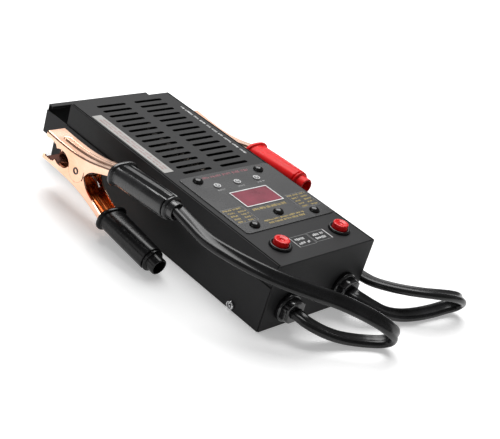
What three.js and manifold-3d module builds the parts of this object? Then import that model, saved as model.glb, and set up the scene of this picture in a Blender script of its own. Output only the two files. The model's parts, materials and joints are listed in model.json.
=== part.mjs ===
// Handheld battery load tester: a folded steel case with a slotted cover, a fascia with a digit display,
// three status lamps and two push-buttons, and two battery clamps on short twin leads.
// Units are millimetres. +X is right, +Y runs from the lead end to the carry handle, +Z is up.
// The origin is the centre of the case's underside, on the surface that the tester stands on.

import * as THREE from 'three';
import { mergeVertices } from 'three/addons/utils/BufferGeometryUtils.js';
import Module from 'manifold-3d';

const wasm = await Module();
wasm.setup();

// ---------------------------------------------------------------- driving dimensions

const SHEET = 0.8; // steel sheet of the case
const CASE_HALF_WIDTH = 52.8; // outside of the base shell's side walls
const COVER_HALF_WIDTH = 51.8; // outside of the cover's flanks
const CASE_HEIGHT = 56.1;
const FRONT_Y = -136.65; // outside of the front wall, where the leads come out
const COVER_REAR_Y = 109.45;
const BASE_REAR_Y = 120.6;
const HANDLE_REAR_Y = 136.65;
const WALL_TOP_Z = 37.4; // upper edge of the base shell's side walls and handle arms
const ARM_BOTTOM_Z = 17.3;
const BAR_TOP_Z = 42.5;
const BEND_RADIUS = 1.6;

const PANEL_X = 1.3; // the panel layout is set slightly right of the case's centreline
const SLOT = { rows: 14, firstY: 99.3, lastY: -10.6, length: 28, width: 3.2, offsetX: 19.6 };
const PANEL_CUT = [50, 60]; // heights between which the cutters for the panel's holes stand
const FIT = 0.1; // clearance of sheet parts that lie against each other
const STICKER = { x: -43.5, y: 40.1, width: 9.3, length: 92.7, thickness: 0.15 };
const FASCIA = { x: 2.6, frontY: -96.2, rearY: -18.1, halfWidth: 47.3, corner: 3, thickness: 0.5 };
const WINDOW = { x: 1.5, y: -57.4, width: 37.6, depth: 19.2, frame: 1.1 };
const LAMPS = { y: -35.3, pitch: 21.1, names: ['left', 'middle', 'right'] };
const BUTTON = { y: -116, offsetX: 32.2 };
const GLAND = { offsetX: 30, leftZ: 17.5, rightZ: 20, flangeRadius: 11.6, bodyRadius: 9.6, reach: 10 };

const LEAD_WIDTH = 11.6; // flat twin lead, two conductors side by side
const LEAD_THICKNESS = 5.8;
const TOUCH_GAP = 0.3; // between a lead's end and the piece that it enters

const CLAMP_HALF_WIDTH = 8.9;
const CLAMP_SHEET = 1.2;
const EAR_RADIUS = 8.8; // round ears of both halves about the pivot

// ---------------------------------------------------------------- solids

function solidOf(geometry) {
  const bare = geometry.index ? geometry.toNonIndexed() : geometry.clone();
  bare.deleteAttribute('normal');
  bare.deleteAttribute('uv');
  const merged = mergeVertices(bare, 1e-4);
  return new wasm.Manifold(new wasm.Mesh({
    numProp: 3,
    vertProperties: new Float32Array(merged.attributes.position.array),
    triVerts: new Uint32Array(merged.index.array),
  }));
}

function geometryOf(solid) {
  const mesh = solid.getMesh();
  const geometry = new THREE.BufferGeometry();
  geometry.setAttribute('position', new THREE.BufferAttribute(new Float32Array(mesh.vertProperties), 3));
  geometry.setIndex(new THREE.BufferAttribute(new Uint32Array(mesh.triVerts), 1));
  geometry.computeVertexNormals();
  return geometry;
}

const join = (first, ...rest) => rest.reduce((sum, solid) => sum.add(solid), first);
const cut = (first, ...rest) => rest.reduce((sum, solid) => sum.subtract(solid), first);

// A box from its lowest to its highest corner.
function block([x0, y0, z0], [x1, y1, z1]) {
  const geometry = new THREE.BoxGeometry(x1 - x0, y1 - y0, z1 - z0);
  return geometry.translate((x0 + x1) / 2, (y0 + y1) / 2, (z0 + z1) / 2);
}

// An outline of [x, y] points, or a ready Shape, extruded upwards from z0 to z1.
function slab(outline, z0, z1, curveSegments = 2) {
  const ready = outline instanceof THREE.Shape;
  const shape = ready ? outline : new THREE.Shape(outline.map((p) => new THREE.Vector2(...p)));
  const geometry = new THREE.ExtrudeGeometry(shape, { depth: z1 - z0, bevelEnabled: false, curveSegments });
  return geometry.translate(0, 0, z0);
}

// The same outline read as [y, z] points and extruded along X from x0 to x1.
function sideSlab(outline, x0, x1, curveSegments) {
  const turn = new THREE.Matrix4().makeBasis(
    new THREE.Vector3(0, 1, 0),
    new THREE.Vector3(0, 0, 1),
    new THREE.Vector3(1, 0, 0),
  );
  return slab(outline, x0, x1, curveSegments).applyMatrix4(turn);
}

// The same outline read as [x, z] points and extruded along Y from y0 to y1.
function crossSlab(outline, y0, y1, curveSegments) {
  return slab(outline, -y1, -y0, curveSegments).rotateX(Math.PI / 2);
}

function cylinder(radius, z0, z1, x = 0, y = 0, segments = 12) {
  const geometry = new THREE.CylinderGeometry(radius, radius, z1 - z0, segments);
  return geometry.rotateX(Math.PI / 2).translate(x, y, (z0 + z1) / 2);
}

function cylinderAlongX(radius, x0, x1, y = 0, z = 0, segments = 16) {
  const geometry = new THREE.CylinderGeometry(radius, radius, x1 - x0, segments);
  return geometry.rotateZ(Math.PI / 2).translate((x0 + x1) / 2, y, z);
}

function cylinderAlongY(radius, y0, y1, x = 0, z = 0, segments = 16) {
  const geometry = new THREE.CylinderGeometry(radius, radius, y1 - y0, segments);
  return geometry.translate(x, (y0 + y1) / 2, z);
}

// A profile of [radius, z] points turned about the Z axis.
function turned(profile, segments = 16) {
  const geometry = new THREE.LatheGeometry(profile.map((p) => new THREE.Vector2(...p)), segments);
  return geometry.rotateX(Math.PI / 2);
}

function roundedRectangle(halfX, halfY, radius) {
  const shape = new THREE.Shape();
  const x = halfX - radius;
  const y = halfY - radius;
  shape.absarc(x, y, radius, 0, Math.PI / 2, false);
  shape.absarc(-x, y, radius, Math.PI / 2, Math.PI, false);
  shape.absarc(-x, -y, radius, Math.PI, 1.5 * Math.PI, false);
  shape.absarc(x, -y, radius, 1.5 * Math.PI, 2 * Math.PI, false);
  shape.closePath();
  return shape;
}

// A tube along a curve, closed at both ends, with an oval section.
function tube(curve, halfWidth, halfHeight, steps, sides = 8) {
  const section = new THREE.Shape();
  for (let i = 0; i < sides; i += 1) {
    const angle = (2 * Math.PI * (i + 0.5)) / sides;
    const point = [halfWidth * Math.cos(angle), halfHeight * Math.sin(angle)];
    if (i === 0) section.moveTo(...point);
    else section.lineTo(...point);
  }
  section.closePath();
  return new THREE.ExtrudeGeometry(section, { steps, extrudePath: curve, bevelEnabled: false });
}

class Helix extends THREE.Curve {
  constructor(radius, length, turns) {
    super();
    this.radius = radius;
    this.length = length;
    this.turns = turns;
  }

  getPoint(t, target = new THREE.Vector3()) {
    const angle = 2 * Math.PI * this.turns * t;
    return target.set(this.radius * Math.cos(angle), this.radius * Math.sin(angle), this.length * t);
  }

  getPointAt(t, target) {
    return this.getPoint(t, target);
  }
}

// A helical wire that rises along Z from the origin.
function coil(radius, wireRadius, length, turns, stepsPerTurn = 10, sides = 6) {
  const curve = new Helix(radius, length, turns);
  return tube(curve, wireRadius, wireRadius, Math.round(turns * stepsPerTurn), sides);
}

// ---------------------------------------------------------------- materials

function finish(color, roughness, metalness) {
  return () => new THREE.MeshStandardMaterial({ color, roughness, metalness });
}

const blackPaint = finish(0x3a3a3a, 0.55, 0.35);
const fasciaPaint = finish(0x5a5a5a, 0.5, 0.2);
const blackPlastic = finish(0x141414, 0.45, 0);
const redPlastic = finish(0xd81e1e, 0.3, 0);
const whitePlastic = finish(0xe8e8e8, 0.4, 0);
const windowTint = finish(0x8a3048, 0.15, 0);
const label = finish(0xd8d4cc, 0.6, 0);
const steel = finish(0xb8b8b8, 0.3, 1);
const blackSteel = finish(0x161616, 0.3, 0.8);
const brass = finish(0xb89048, 0.35, 1);
const copper = finish(0xe8a070, 0.2, 1);
const blackVinyl = finish(0x1a1a1a, 0.35, 0);
const redVinyl = finish(0xe02424, 0.3, 0);
const boardGreen = finish(0x1f5a34, 0.5, 0);
const ceramic = finish(0xe6dfd0, 0.7, 0);
const resistanceWire = finish(0x6a6660, 0.4, 1);
const mica = finish(0xa89878, 0.6, 0);

const model = new THREE.Group();
model.name = 'battery_tester';

function addPiece(parent, name, shape, material) {
  const geometry = shape instanceof THREE.BufferGeometry ? shape : geometryOf(shape);
  const mesh = new THREE.Mesh(geometry, material());
  mesh.name = name;
  parent.add(mesh);
  return mesh;
}

const SIDES = [['left', -1, GLAND.leftZ], ['right', 1, GLAND.rightZ]];

// ---------------------------------------------------------------- places on the panel

const panelScrews = [
  [-30.8, -25.2, 'rear_left'],
  [34.2, -25.2, 'rear_right'],
  [-30.8, -88.9, 'front_left'],
  [34.2, -88.9, 'front_right'],
  [2.2, -80.7, 'middle'],
];
const lampX = LAMPS.names.map((_, i) => PANEL_X + (i - 1) * LAMPS.pitch);
const sideScrewY = [-106.5, 84];
const SIDE_SCREW_Z = 4.2;
const SCREW_HOLE = 1.8; // radius, as are the next three
const LAMP_HOLE = 2.6;
const BUTTON_HOLE = 7.7;
const GLAND_HOLE = 8.3;

// ---------------------------------------------------------------- folded case

function ventSlots() {
  const pitch = (SLOT.lastY - SLOT.firstY) / (SLOT.rows - 1);
  const slots = [];
  for (const side of [-1, 1]) {
    for (let row = 0; row < SLOT.rows; row += 1) {
      const slot = slab(roundedRectangle(SLOT.length / 2, SLOT.width / 2, SLOT.width / 2 - 0.01), ...PANEL_CUT);
      slots.push(slot.translate(PANEL_X + side * SLOT.offsetX, SLOT.firstY + row * pitch, 0));
    }
  }
  return slots;
}

// Cylinders right across the case where the side screws go.
function sideScrewHoles() {
  const reach = CASE_HALF_WIDTH + 5;
  return sideScrewY.map((y) => cylinderAlongX(SCREW_HOLE, -reach, reach, y, SIDE_SCREW_Z, 8));
}

function topCover() {
  const outer = COVER_HALF_WIDTH;
  const inner = outer - SHEET;
  const lip = SHEET + 0.5; // the flanks end just above the base shell's floor
  const bendX = outer - BEND_RADIUS;
  const bendZ = CASE_HEIGHT - BEND_RADIUS;
  const profile = new THREE.Shape();
  profile.moveTo(outer, lip);
  profile.absarc(bendX, bendZ, BEND_RADIUS, 0, Math.PI / 2, false);
  profile.absarc(-bendX, bendZ, BEND_RADIUS, Math.PI / 2, Math.PI, false);
  profile.lineTo(-outer, lip);
  profile.lineTo(-inner, lip);
  profile.lineTo(-inner, CASE_HEIGHT - SHEET);
  profile.lineTo(inner, CASE_HEIGHT - SHEET);
  profile.lineTo(inner, lip);
  profile.closePath();
  const wrap = crossSlab(profile, FRONT_Y + FIT, COVER_REAR_Y - FIT, 3);
  // The front wall covers the edges of the base shell's walls. Both end walls reach up between the bends.
  const frontHalf = CASE_HALF_WIDTH - 0.5;
  const front = block([-frontHalf, FRONT_Y, 0.4], [frontHalf, FRONT_Y + SHEET, bendZ]);
  const frontTop = block([-bendX, FRONT_Y, bendZ - BEND_RADIUS], [bendX, FRONT_Y + SHEET, CASE_HEIGHT]);
  const rear = block([-outer + FIT, COVER_REAR_Y - SHEET, lip], [outer - FIT, COVER_REAR_Y, bendZ]);
  const rearTop = block(
    [-bendX, COVER_REAR_Y - SHEET, bendZ - BEND_RADIUS],
    [bendX, COVER_REAR_Y, CASE_HEIGHT],
  );
  const window = roundedRectangle(WINDOW.width / 2 - 1, WINDOW.depth / 2 - 1, 1);
  const holes = [
    ...ventSlots(),
    slab(window, ...PANEL_CUT).translate(WINDOW.x, WINDOW.y, 0),
    ...lampX.map((x) => cylinder(LAMP_HOLE, ...PANEL_CUT, x, LAMPS.y, 10)),
    ...panelScrews.map(([x, y]) => cylinder(SCREW_HOLE, ...PANEL_CUT, x, y, 8)),
    ...[-1, 1].map((s) => cylinder(BUTTON_HOLE, ...PANEL_CUT, PANEL_X + s * BUTTON.offsetX, BUTTON.y)),
    ...SIDES.map(([, s, z]) => cylinderAlongY(GLAND_HOLE, FRONT_Y - 1, FRONT_Y + 3, s * GLAND.offsetX, z)),
    ...sideScrewHoles(),
  ];
  const folded = join(...[wrap, front, frontTop, rear, rearTop].map(solidOf));
  return cut(folded, ...holes.map(solidOf));
}

function baseShell() {
  const frontY = FRONT_Y + SHEET + 2.5 * FIT;
  const wall = [
    [frontY, 0],
    [BASE_REAR_Y, 0],
    [BASE_REAR_Y, ARM_BOTTOM_Z],
    [HANDLE_REAR_Y, ARM_BOTTOM_Z],
    [HANDLE_REAR_Y, WALL_TOP_Z],
    [frontY, WALL_TOP_Z],
  ];
  const floor = solidOf(block([-CASE_HALF_WIDTH, frontY, 0], [CASE_HALF_WIDTH, BASE_REAR_Y, SHEET]));
  const rear = solidOf(block(
    [-CASE_HALF_WIDTH, BASE_REAR_Y - SHEET, 0],
    [CASE_HALF_WIDTH, BASE_REAR_Y, ARM_BOTTOM_Z],
  ));
  const left = solidOf(sideSlab(wall, -CASE_HALF_WIDTH, -CASE_HALF_WIDTH + SHEET));
  const right = solidOf(sideSlab(wall, CASE_HALF_WIDTH - SHEET, CASE_HALF_WIDTH));
  return cut(join(floor, rear, left, right), ...sideScrewHoles().map(solidOf));
}

// A web across the rear with a flange and lip folded forwards over the fingers, welded in by two tabs.
const BAR = { flangeDepth: 5.2, lipHeight: 2.4, tabDepth: 11 };

function carryHandleBar() {
  const half = CASE_HALF_WIDTH - SHEET - FIT;
  const rearY = HANDLE_REAR_Y - 2 * FIT;
  const flangeY = rearY - BAR.flangeDepth;
  const web = block([-half, rearY - SHEET, ARM_BOTTOM_Z + SHEET], [half, rearY, BAR_TOP_Z]);
  const flange = block([-half, flangeY, BAR_TOP_Z - SHEET], [half, rearY, BAR_TOP_Z]);
  const lip = block([-half, flangeY, BAR_TOP_Z - BAR.lipHeight], [half, flangeY + SHEET, BAR_TOP_Z]);
  const tabs = [-half, half - SHEET].map((x) => block(
    [x, rearY - BAR.tabDepth, ARM_BOTTOM_Z + 2],
    [x + SHEET, rearY, WALL_TOP_Z - 3],
  ));
  return join(...[web, flange, lip, ...tabs].map(solidOf));
}

addPiece(model, 'base_shell', baseShell(), blackPaint);
addPiece(model, 'top_cover', topCover(), blackPaint);
addPiece(model, 'carry_handle_bar', carryHandleBar(), blackPaint);

const SCREW_SHANK = 1.5; // radius of every screw's shank

function sideScrew() {
  const profile = [[0, 0], [3.3, 0], [3.2, 0.9], [2.3, 1.8], [0, 2.1]];
  const head = turned(profile, 12).rotateY(Math.PI / 2).translate(CASE_HALF_WIDTH + FIT, 0, 0);
  const shank = cylinderAlongX(SCREW_SHANK, CASE_HALF_WIDTH - 6, CASE_HALF_WIDTH + 0.4, 0, 0, 10);
  return geometryOf(join(solidOf(head), solidOf(shank)));
}

for (const [side, s] of SIDES) {
  for (const [i, y] of sideScrewY.entries()) {
    const screw = sideScrew().rotateZ(s < 0 ? Math.PI : 0).translate(0, y, SIDE_SCREW_Z);
    addPiece(model, `side_screw_${side}_${i === 0 ? 'front' : 'rear'}`, screw, steel);
  }
}

// ---------------------------------------------------------------- fascia, window, lamps, label

const FASCIA_Z = CASE_HEIGHT + FIT;
const FASCIA_TOP = FASCIA_Z + FASCIA.thickness;

function fasciaPlate() {
  const halfDepth = (FASCIA.rearY - FASCIA.frontY) / 2;
  const plate = slab(roundedRectangle(FASCIA.halfWidth, halfDepth, FASCIA.corner), FASCIA_Z, FASCIA_TOP);
  plate.translate(FASCIA.x, (FASCIA.rearY + FASCIA.frontY) / 2, 0);
  const window = roundedRectangle(WINDOW.width / 2 + 2 * FIT, WINDOW.depth / 2 + 2 * FIT, 0.6);
  const holes = [
    slab(window, ...PANEL_CUT).translate(WINDOW.x, WINDOW.y, 0),
    ...lampX.map((x) => cylinder(LAMP_HOLE, ...PANEL_CUT, x, LAMPS.y, 10)),
    ...panelScrews.map(([x, y]) => cylinder(SCREW_HOLE, ...PANEL_CUT, x, y, 8)),
  ];
  return cut(solidOf(plate), ...holes.map(solidOf));
}

function windowFrame() {
  const outline = roundedRectangle(WINDOW.width / 2 + WINDOW.frame, WINDOW.depth / 2 + WINDOW.frame, 0.8);
  const outer = slab(outline, FASCIA_TOP + FIT / 2, FASCIA_TOP + 0.4);
  const opening = slab(roundedRectangle(WINDOW.width / 2 + FIT, WINDOW.depth / 2 + FIT, 0.5), ...PANEL_CUT);
  return solidOf(outer).subtract(solidOf(opening)).translate([WINDOW.x, WINDOW.y, 0]);
}

function displayWindow() {
  const outline = roundedRectangle(WINDOW.width / 2, WINDOW.depth / 2, 0.5);
  return slab(outline, FASCIA_Z, FASCIA_TOP + 0.2).translate(WINDOW.x, WINDOW.y, 0);
}

function warningLabel() {
  const lowZ = CASE_HEIGHT + FIT / 2;
  const outline = roundedRectangle(STICKER.width / 2, STICKER.length / 2, 0.6);
  return slab(outline, lowZ, lowZ + STICKER.thickness).translate(STICKER.x, STICKER.y, 0);
}

function lamp(x) {
  const profile = [
    [0, FASCIA_TOP - 7],
    [2.3, FASCIA_TOP - 7],
    [2.3, FASCIA_TOP + 0.05],
    [3.05, FASCIA_TOP + 0.05],
    [3.05, FASCIA_TOP + 0.7],
    [2.7, FASCIA_TOP + 1],
    [1.9, FASCIA_TOP + 1],
    [1.3, FASCIA_TOP + 1.5],
    [0, FASCIA_TOP + 1.8],
  ];
  return turned(profile, 12).translate(x, LAMPS.y, 0);
}

addPiece(model, 'fascia_plate', fasciaPlate(), fasciaPaint);
addPiece(model, 'window_frame', windowFrame(), whitePlastic);
addPiece(model, 'display_window', displayWindow(), windowTint);
addPiece(model, 'warning_label', warningLabel(), label);
LAMPS.names.forEach((name, i) => addPiece(model, `status_lamp_${name}`, lamp(lampX[i]), whitePlastic));

for (const [x, y, place] of panelScrews) {
  const profile = [
    [0, FASCIA_TOP - 10],
    [SCREW_SHANK, FASCIA_TOP - 10],
    [SCREW_SHANK, FASCIA_TOP + 0.05],
    [4.2, FASCIA_TOP + 0.05],
    [4.1, FASCIA_TOP + 0.9],
    [3.1, FASCIA_TOP + 2],
    [1.6, FASCIA_TOP + 2.6],
    [0, FASCIA_TOP + 2.8],
  ];
  addPiece(model, `panel_screw_${place}`, turned(profile, 12).translate(x, y, 0), blackSteel);
}

// ---------------------------------------------------------------- push-buttons

const BUSH = { top: CASE_HEIGHT + 2.1, bottom: 41, floor: 43, radius: 7.1, flange: 8.75 };
const CAP = { top: CASE_HEIGHT + 5.8, skirt: 54, radius: 5.9 };
const STEM = { radius: 2, bottom: 38 };
const NUT = { radius: 9.3, thickness: 2.7 };

function buttonBush() {
  const stemHole = STEM.radius + 0.4;
  const capHole = CAP.radius + 0.35;
  const profile = [
    [stemHole, BUSH.bottom],
    [BUSH.radius, BUSH.bottom],
    [BUSH.radius, CASE_HEIGHT + FIT / 2],
    [BUSH.flange, CASE_HEIGHT + FIT / 2],
    [BUSH.flange, BUSH.top - 1],
    [BUSH.flange - 0.65, BUSH.top - 0.2],
    [BUSH.radius + 0.1, BUSH.top],
    [capHole, BUSH.top - 0.5],
    [capHole, BUSH.floor],
    [stemHole, BUSH.floor],
    [stemHole, BUSH.bottom],
  ];
  return turned(profile, 18);
}

// The cap is dished on top.
function buttonCap() {
  const profile = [
    [0, STEM.bottom],
    [STEM.radius, STEM.bottom],
    [STEM.radius, CAP.skirt],
    [CAP.radius, CAP.skirt],
    [CAP.radius, CAP.top - 0.9],
    [CAP.radius - 0.9, CAP.top],
    [3.6, CAP.top],
    [0, CAP.top - 0.8],
  ];
  return turned(profile, 16);
}

function buttonNut() {
  const top = CASE_HEIGHT - SHEET - FIT;
  const hexagon = solidOf(cylinder(NUT.radius, top - NUT.thickness, top, 0, 0, 6));
  return hexagon.subtract(solidOf(cylinder(BUSH.radius + 0.25, BUSH.bottom, top + 1)));
}

function buttonSpring() {
  const free = 0.8; // above the bush's floor and below the cap's skirt
  return coil(3.7, 0.4, CAP.skirt - BUSH.floor - 2 * free, 4, 8, 4).translate(0, 0, BUSH.floor + free);
}

// Stands below the stem, with two solder tails.
const CONTACT = { halfX: 7, halfY: 6.5, bottom: 24, top: 35, tailX: 4, tailBottom: 18 };

function contactBlock() {
  const { halfX, halfY, bottom, top } = CONTACT;
  const body = solidOf(block([-halfX, -halfY, bottom], [halfX, halfY, top]));
  const tails = [-CONTACT.tailX, CONTACT.tailX].map((x) => solidOf(block(
    [x - 1, -0.4, CONTACT.tailBottom],
    [x + 1, 0.4, bottom + 0.5],
  )));
  return join(body, ...tails);
}

for (const [name, s] of [['test', -1], ['set', 1]]) {
  const place = new THREE.Group();
  place.position.set(PANEL_X + s * BUTTON.offsetX, BUTTON.y, 0);
  model.add(place);
  addPiece(place, `${name}_button_bush`, buttonBush(), blackSteel);
  addPiece(place, `${name}_button_cap`, buttonCap(), redPlastic);
  addPiece(place, `${name}_button_nut`, buttonNut(), steel);
  addPiece(place, `${name}_button_spring`, buttonSpring(), steel);
  addPiece(place, `${name}_contact_block`, contactBlock(), blackPlastic);
}

// ---------------------------------------------------------------- electronics under the fascia

const BOARD = { x0: -40, x1: 43, y0: -98, y1: -18, bottom: 43.4, top: 45 };
const CHIP = { x0: 14, x1: 26, y0: -90, y1: -78, height: 2 };
const SOUNDER = { x: -20, y: -80, radius: 5.5, height: 6.4 };
const PLUG = { halfX: 12, y0: -30, y1: -23, depth: 7 };
const SUNK = 0.1; // how far a part mounted on the board runs into it

function circuitBoard() {
  const { bottom, top } = BOARD;
  const mounted = [
    block([CHIP.x0, CHIP.y0, top - SUNK], [CHIP.x1, CHIP.y1, top + CHIP.height]),
    cylinder(SOUNDER.radius, top - SUNK, top + SOUNDER.height, SOUNDER.x, SOUNDER.y, 20),
    block([-PLUG.halfX, PLUG.y0, bottom - PLUG.depth], [PLUG.halfX, PLUG.y1, bottom + SUNK]),
  ];
  const board = solidOf(block([BOARD.x0, BOARD.y0, bottom], [BOARD.x1, BOARD.y1, top]));
  const holes = panelScrews.slice(0, 4).map(([x, y]) => cylinder(SCREW_HOLE - FIT, bottom - 1, top + 1, x, y));
  return cut(join(board, ...mounted.map(solidOf)), ...holes.map(solidOf));
}

// A threaded hexagon pillar between the board and the cover, bored for its screw.
function pillar() {
  const top = CASE_HEIGHT - SHEET - FIT;
  const bottom = BOARD.top + FIT;
  const boreBottom = bottom + 0.6;
  const bore = SCREW_SHANK + 0.25;
  return turned([[0, bottom], [3.2, bottom], [3.2, top], [bore, top], [bore, boreBottom], [0, boreBottom]], 6);
}

addPiece(model, 'circuit_board', circuitBoard(), boardGreen);
const DISPLAY = { halfX: 17.5, halfY: 8.5, top: CASE_HEIGHT - SHEET - 0.4 };
addPiece(model, 'digit_display', block(
  [WINDOW.x - DISPLAY.halfX, WINDOW.y - DISPLAY.halfY, BOARD.top + FIT],
  [WINDOW.x + DISPLAY.halfX, WINDOW.y + DISPLAY.halfY, DISPLAY.top],
), blackPlastic);
for (const [x, y, place] of panelScrews.slice(0, 4)) {
  addPiece(model, `board_pillar_${place}`, pillar().translate(x, y, 0), brass);
}

// ---------------------------------------------------------------- load circuit in the base

const COIL = { x: 23, z: 28, radius: 12, wire: 1.2, y0: -1, y1: 93, turns: 10 };
const ROD = { radius: 5, overhang: 6 };
const FRAME = { halfWidth: 44, bottom: 4, top: 44, sheet: 1.2, overhang: 3, footHalf: 10 };

// Two end plates on a floor strip, with a hole for each ceramic rod.
function loadFrame() {
  const ends = [COIL.y0 - FRAME.overhang, COIL.y1 + FRAME.overhang];
  const half = FRAME.sheet / 2;
  const floorZ = SHEET + FIT;
  const plates = ends.map((y) => {
    const plate = block([-FRAME.halfWidth, y - half, FRAME.bottom], [FRAME.halfWidth, y + half, FRAME.top]);
    const holes = [-1, 1].map((s) => cylinderAlongY(ROD.radius + 0.3, y - 3, y + 3, s * COIL.x, COIL.z, 20));
    return cut(solidOf(plate), ...holes.map(solidOf));
  });
  const floor = block([-FRAME.footHalf, ends[0], floorZ], [FRAME.footHalf, ends[1], floorZ + FRAME.sheet]);
  const feet = ends.map((y) => block([-FRAME.footHalf, y - half, floorZ], [FRAME.footHalf, y + half, 5]));
  return join(solidOf(floor), ...feet.map(solidOf), ...plates);
}

addPiece(model, 'load_frame', loadFrame(), steel);
for (const [side, s] of SIDES) {
  const rodEnds = [COIL.y0 - ROD.overhang, COIL.y1 + ROD.overhang];
  const rod = cylinderAlongY(ROD.radius, ...rodEnds, s * COIL.x, COIL.z, 14);
  addPiece(model, `ceramic_rod_${side}`, rod, ceramic);
  const wire = coil(COIL.radius, COIL.wire, COIL.y1 - COIL.y0, COIL.turns, 8, 4);
  wire.rotateX(-Math.PI / 2).translate(s * COIL.x, COIL.y0, COIL.z);
  addPiece(model, `load_coil_${side}`, wire, resistanceWire);
}

// The shield parts the coils from the electronics.
const SHIELD = { halfWidth: 48, y: -14, thickness: 0.8, top: 42 };
addPiece(model, 'heat_shield', block(
  [-SHIELD.halfWidth, SHIELD.y, SHEET + 4 * FIT],
  [SHIELD.halfWidth, SHIELD.y + SHIELD.thickness, SHIELD.top],
), mica);

const RELAY = { halfX: 16, y0: -62, y1: -28, top: 28, studRadius: 2.5, studX: 9, studTop: 34 };
const SHUNT = { halfX: 24, y: -86, halfY: 6, bottom: 6, top: 9, legX: 19, legHalf: 4 };
const NOTCH = { halfX: 8, halfY: 1.5 };

function loadRelay() {
  const body = block([-RELAY.halfX, RELAY.y0, SHEET + FIT], [RELAY.halfX, RELAY.y1, RELAY.top]);
  const studY = (RELAY.y0 + RELAY.y1) / 2;
  const studs = [-1, 1].map((s) => cylinder(
    RELAY.studRadius, RELAY.top - 1, RELAY.studTop, s * RELAY.studX, studY, 10,
  ));
  return join(solidOf(body), ...studs.map(solidOf));
}

// A bar on two legs, narrowed in its middle by a notch in each long edge.
function shuntBar() {
  const { halfX, y, halfY, bottom, top, legX, legHalf } = SHUNT;
  const bar = solidOf(block([-halfX, y - halfY, bottom], [halfX, y + halfY, top]));
  const legs = [-legX, legX].map((x) => block(
    [x - legHalf, y - legHalf, SHEET + FIT],
    [x + legHalf, y + legHalf, bottom + 0.2],
  ));
  const notches = [-halfY, halfY].map((offset) => block(
    [-NOTCH.halfX, y + offset - NOTCH.halfY, bottom - 1],
    [NOTCH.halfX, y + offset + NOTCH.halfY, top + 1],
  ));
  return cut(join(bar, ...legs.map(solidOf)), ...notches.map(solidOf));
}

addPiece(model, 'load_relay', loadRelay(), blackPlastic);
addPiece(model, 'current_shunt', shuntBar(), brass);

// ---------------------------------------------------------------- strain-relief bushes at the front

// Along the bush's own axis z counts outwards from the front wall.
function strainRelief() {
  const profile = [
    [0, -6],
    [7.6, -6],
    [7.9, -1.2],
    [7.9, 0.1],
    [GLAND.flangeRadius, 0.1],
    [GLAND.flangeRadius, 3],
    [GLAND.flangeRadius - 1, 4],
    [GLAND.bodyRadius, 4.4],
    [GLAND.bodyRadius, GLAND.reach - 1.2],
    [GLAND.bodyRadius - 1.2, GLAND.reach],
    [0, GLAND.reach],
  ];
  return turned(profile, 18).rotateX(Math.PI / 2);
}

for (const [side, s, z] of SIDES) {
  const bush = strainRelief().translate(s * GLAND.offsetX, FRONT_Y, z);
  addPiece(model, `lead_bush_${side}`, bush, blackPlastic);
}

// ---------------------------------------------------------------- battery clamps

// One half of a clamp in its own frame: the pivot is the origin, +Y points to the jaw tips and +Z is
// outwards. The other half is the same half turned over about Y.
const JAW_TIP = 41.5;
const PIVOT_BORE = 2.9;
const RIB = { halfWidth: 2.6, height: 0.9 };
const BEYOND = 20; // reach of cutters across the clamp's width

const outerLine = [
  [JAW_TIP, 12.2],
  [30, 12],
  [17, 12.2],
  [8, 12.6],
  [-2, 13.7],
  [-10, 15.1],
  [-17, 16.7],
  [-23, 18.4],
  [-30, 20.5],
  [-38.5, 23],
];
const innerHandleLine = [
  [-38.5, 17],
  [-30, 14.2],
  [-23, 11.4],
  [-17, 8.6],
  [-13, 5.2],
];
const mouthLine = [
  [11, 3.4],
  [14.5, 5.8],
  [19, 6.8],
  [23.5, 6.2],
  [26.6, 4.9],
  [28.4, 7.4],
  [32, 8.3],
  [37.5, 8.3],
  [40.6, 7.2],
  [JAW_TIP + 0.8, 9],
];

function arcPoints(radius, from, to, count) {
  return Array.from({ length: count + 1 }, (_, i) => {
    const angle = from + ((to - from) * i) / count;
    return [radius * Math.cos(angle), radius * Math.sin(angle)];
  });
}

// The whole side plate, ear included.
function earedPlate() {
  const rearSide = Math.PI - 0.12;
  const mouthSide = 2 * Math.PI + 0.1;
  return [...outerLine, ...innerHandleLine, ...arcPoints(EAR_RADIUS, rearSide, mouthSide, 12), ...mouthLine];
}

// The web is the strip along the outer line, one sheet thick.
function webStrip() {
  const inner = outerLine.map(([y, z]) => [y, z - CLAMP_SHEET]).reverse();
  return [...outerLine, ...inner];
}

// The rib pressed into the web runs in from the jaw and rises over the handle.
function webRib() {
  const ridge = outerLine.slice(1, 8);
  const [jawEnd, ...rest] = ridge;
  const low = ridge.map(([y, z]) => [y, z - CLAMP_SHEET / 3]).reverse();
  return [[jawEnd[0] - 3, jawEnd[1]], ...rest.map(([y, z]) => [y, z + RIB.height]), ...low];
}

const TONGUE = { startY: -34, halfWidth: 7.2, halfHeight: 3 };
const HANDLE_SLOPE = 0.0815; // the sleeve's axis rises outwards by this much for each millimetre of length
const handleCentre = (y) => 19.6 - HANDLE_SLOPE * (y + 41);

// The tongue carries the sleeve: a shallow channel that continues the handle.
function tongue(endY) {
  const { startY, halfWidth, halfHeight } = TONGUE;
  const line = (offset) => [[startY, handleCentre(startY) + offset], [endY, handleCentre(endY) + offset]];
  const strip = (low, high) => [...line(high), ...line(low).reverse()];
  const web = sideSlab(strip(halfHeight - CLAMP_SHEET, halfHeight), -halfWidth, halfWidth);
  const walls = [-halfWidth, halfWidth - CLAMP_SHEET].map((x) => sideSlab(
    strip(-halfHeight, halfHeight), x, x + CLAMP_SHEET,
  ));
  return join(solidOf(web), ...walls.map(solidOf));
}

// depth is how far the plate's outside lies from the clamp's centre plane.
function plates(outline, depth) {
  return [-depth, depth - CLAMP_SHEET].map((x) => solidOf(sideSlab(outline, x, x + CLAMP_SHEET)));
}

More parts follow.
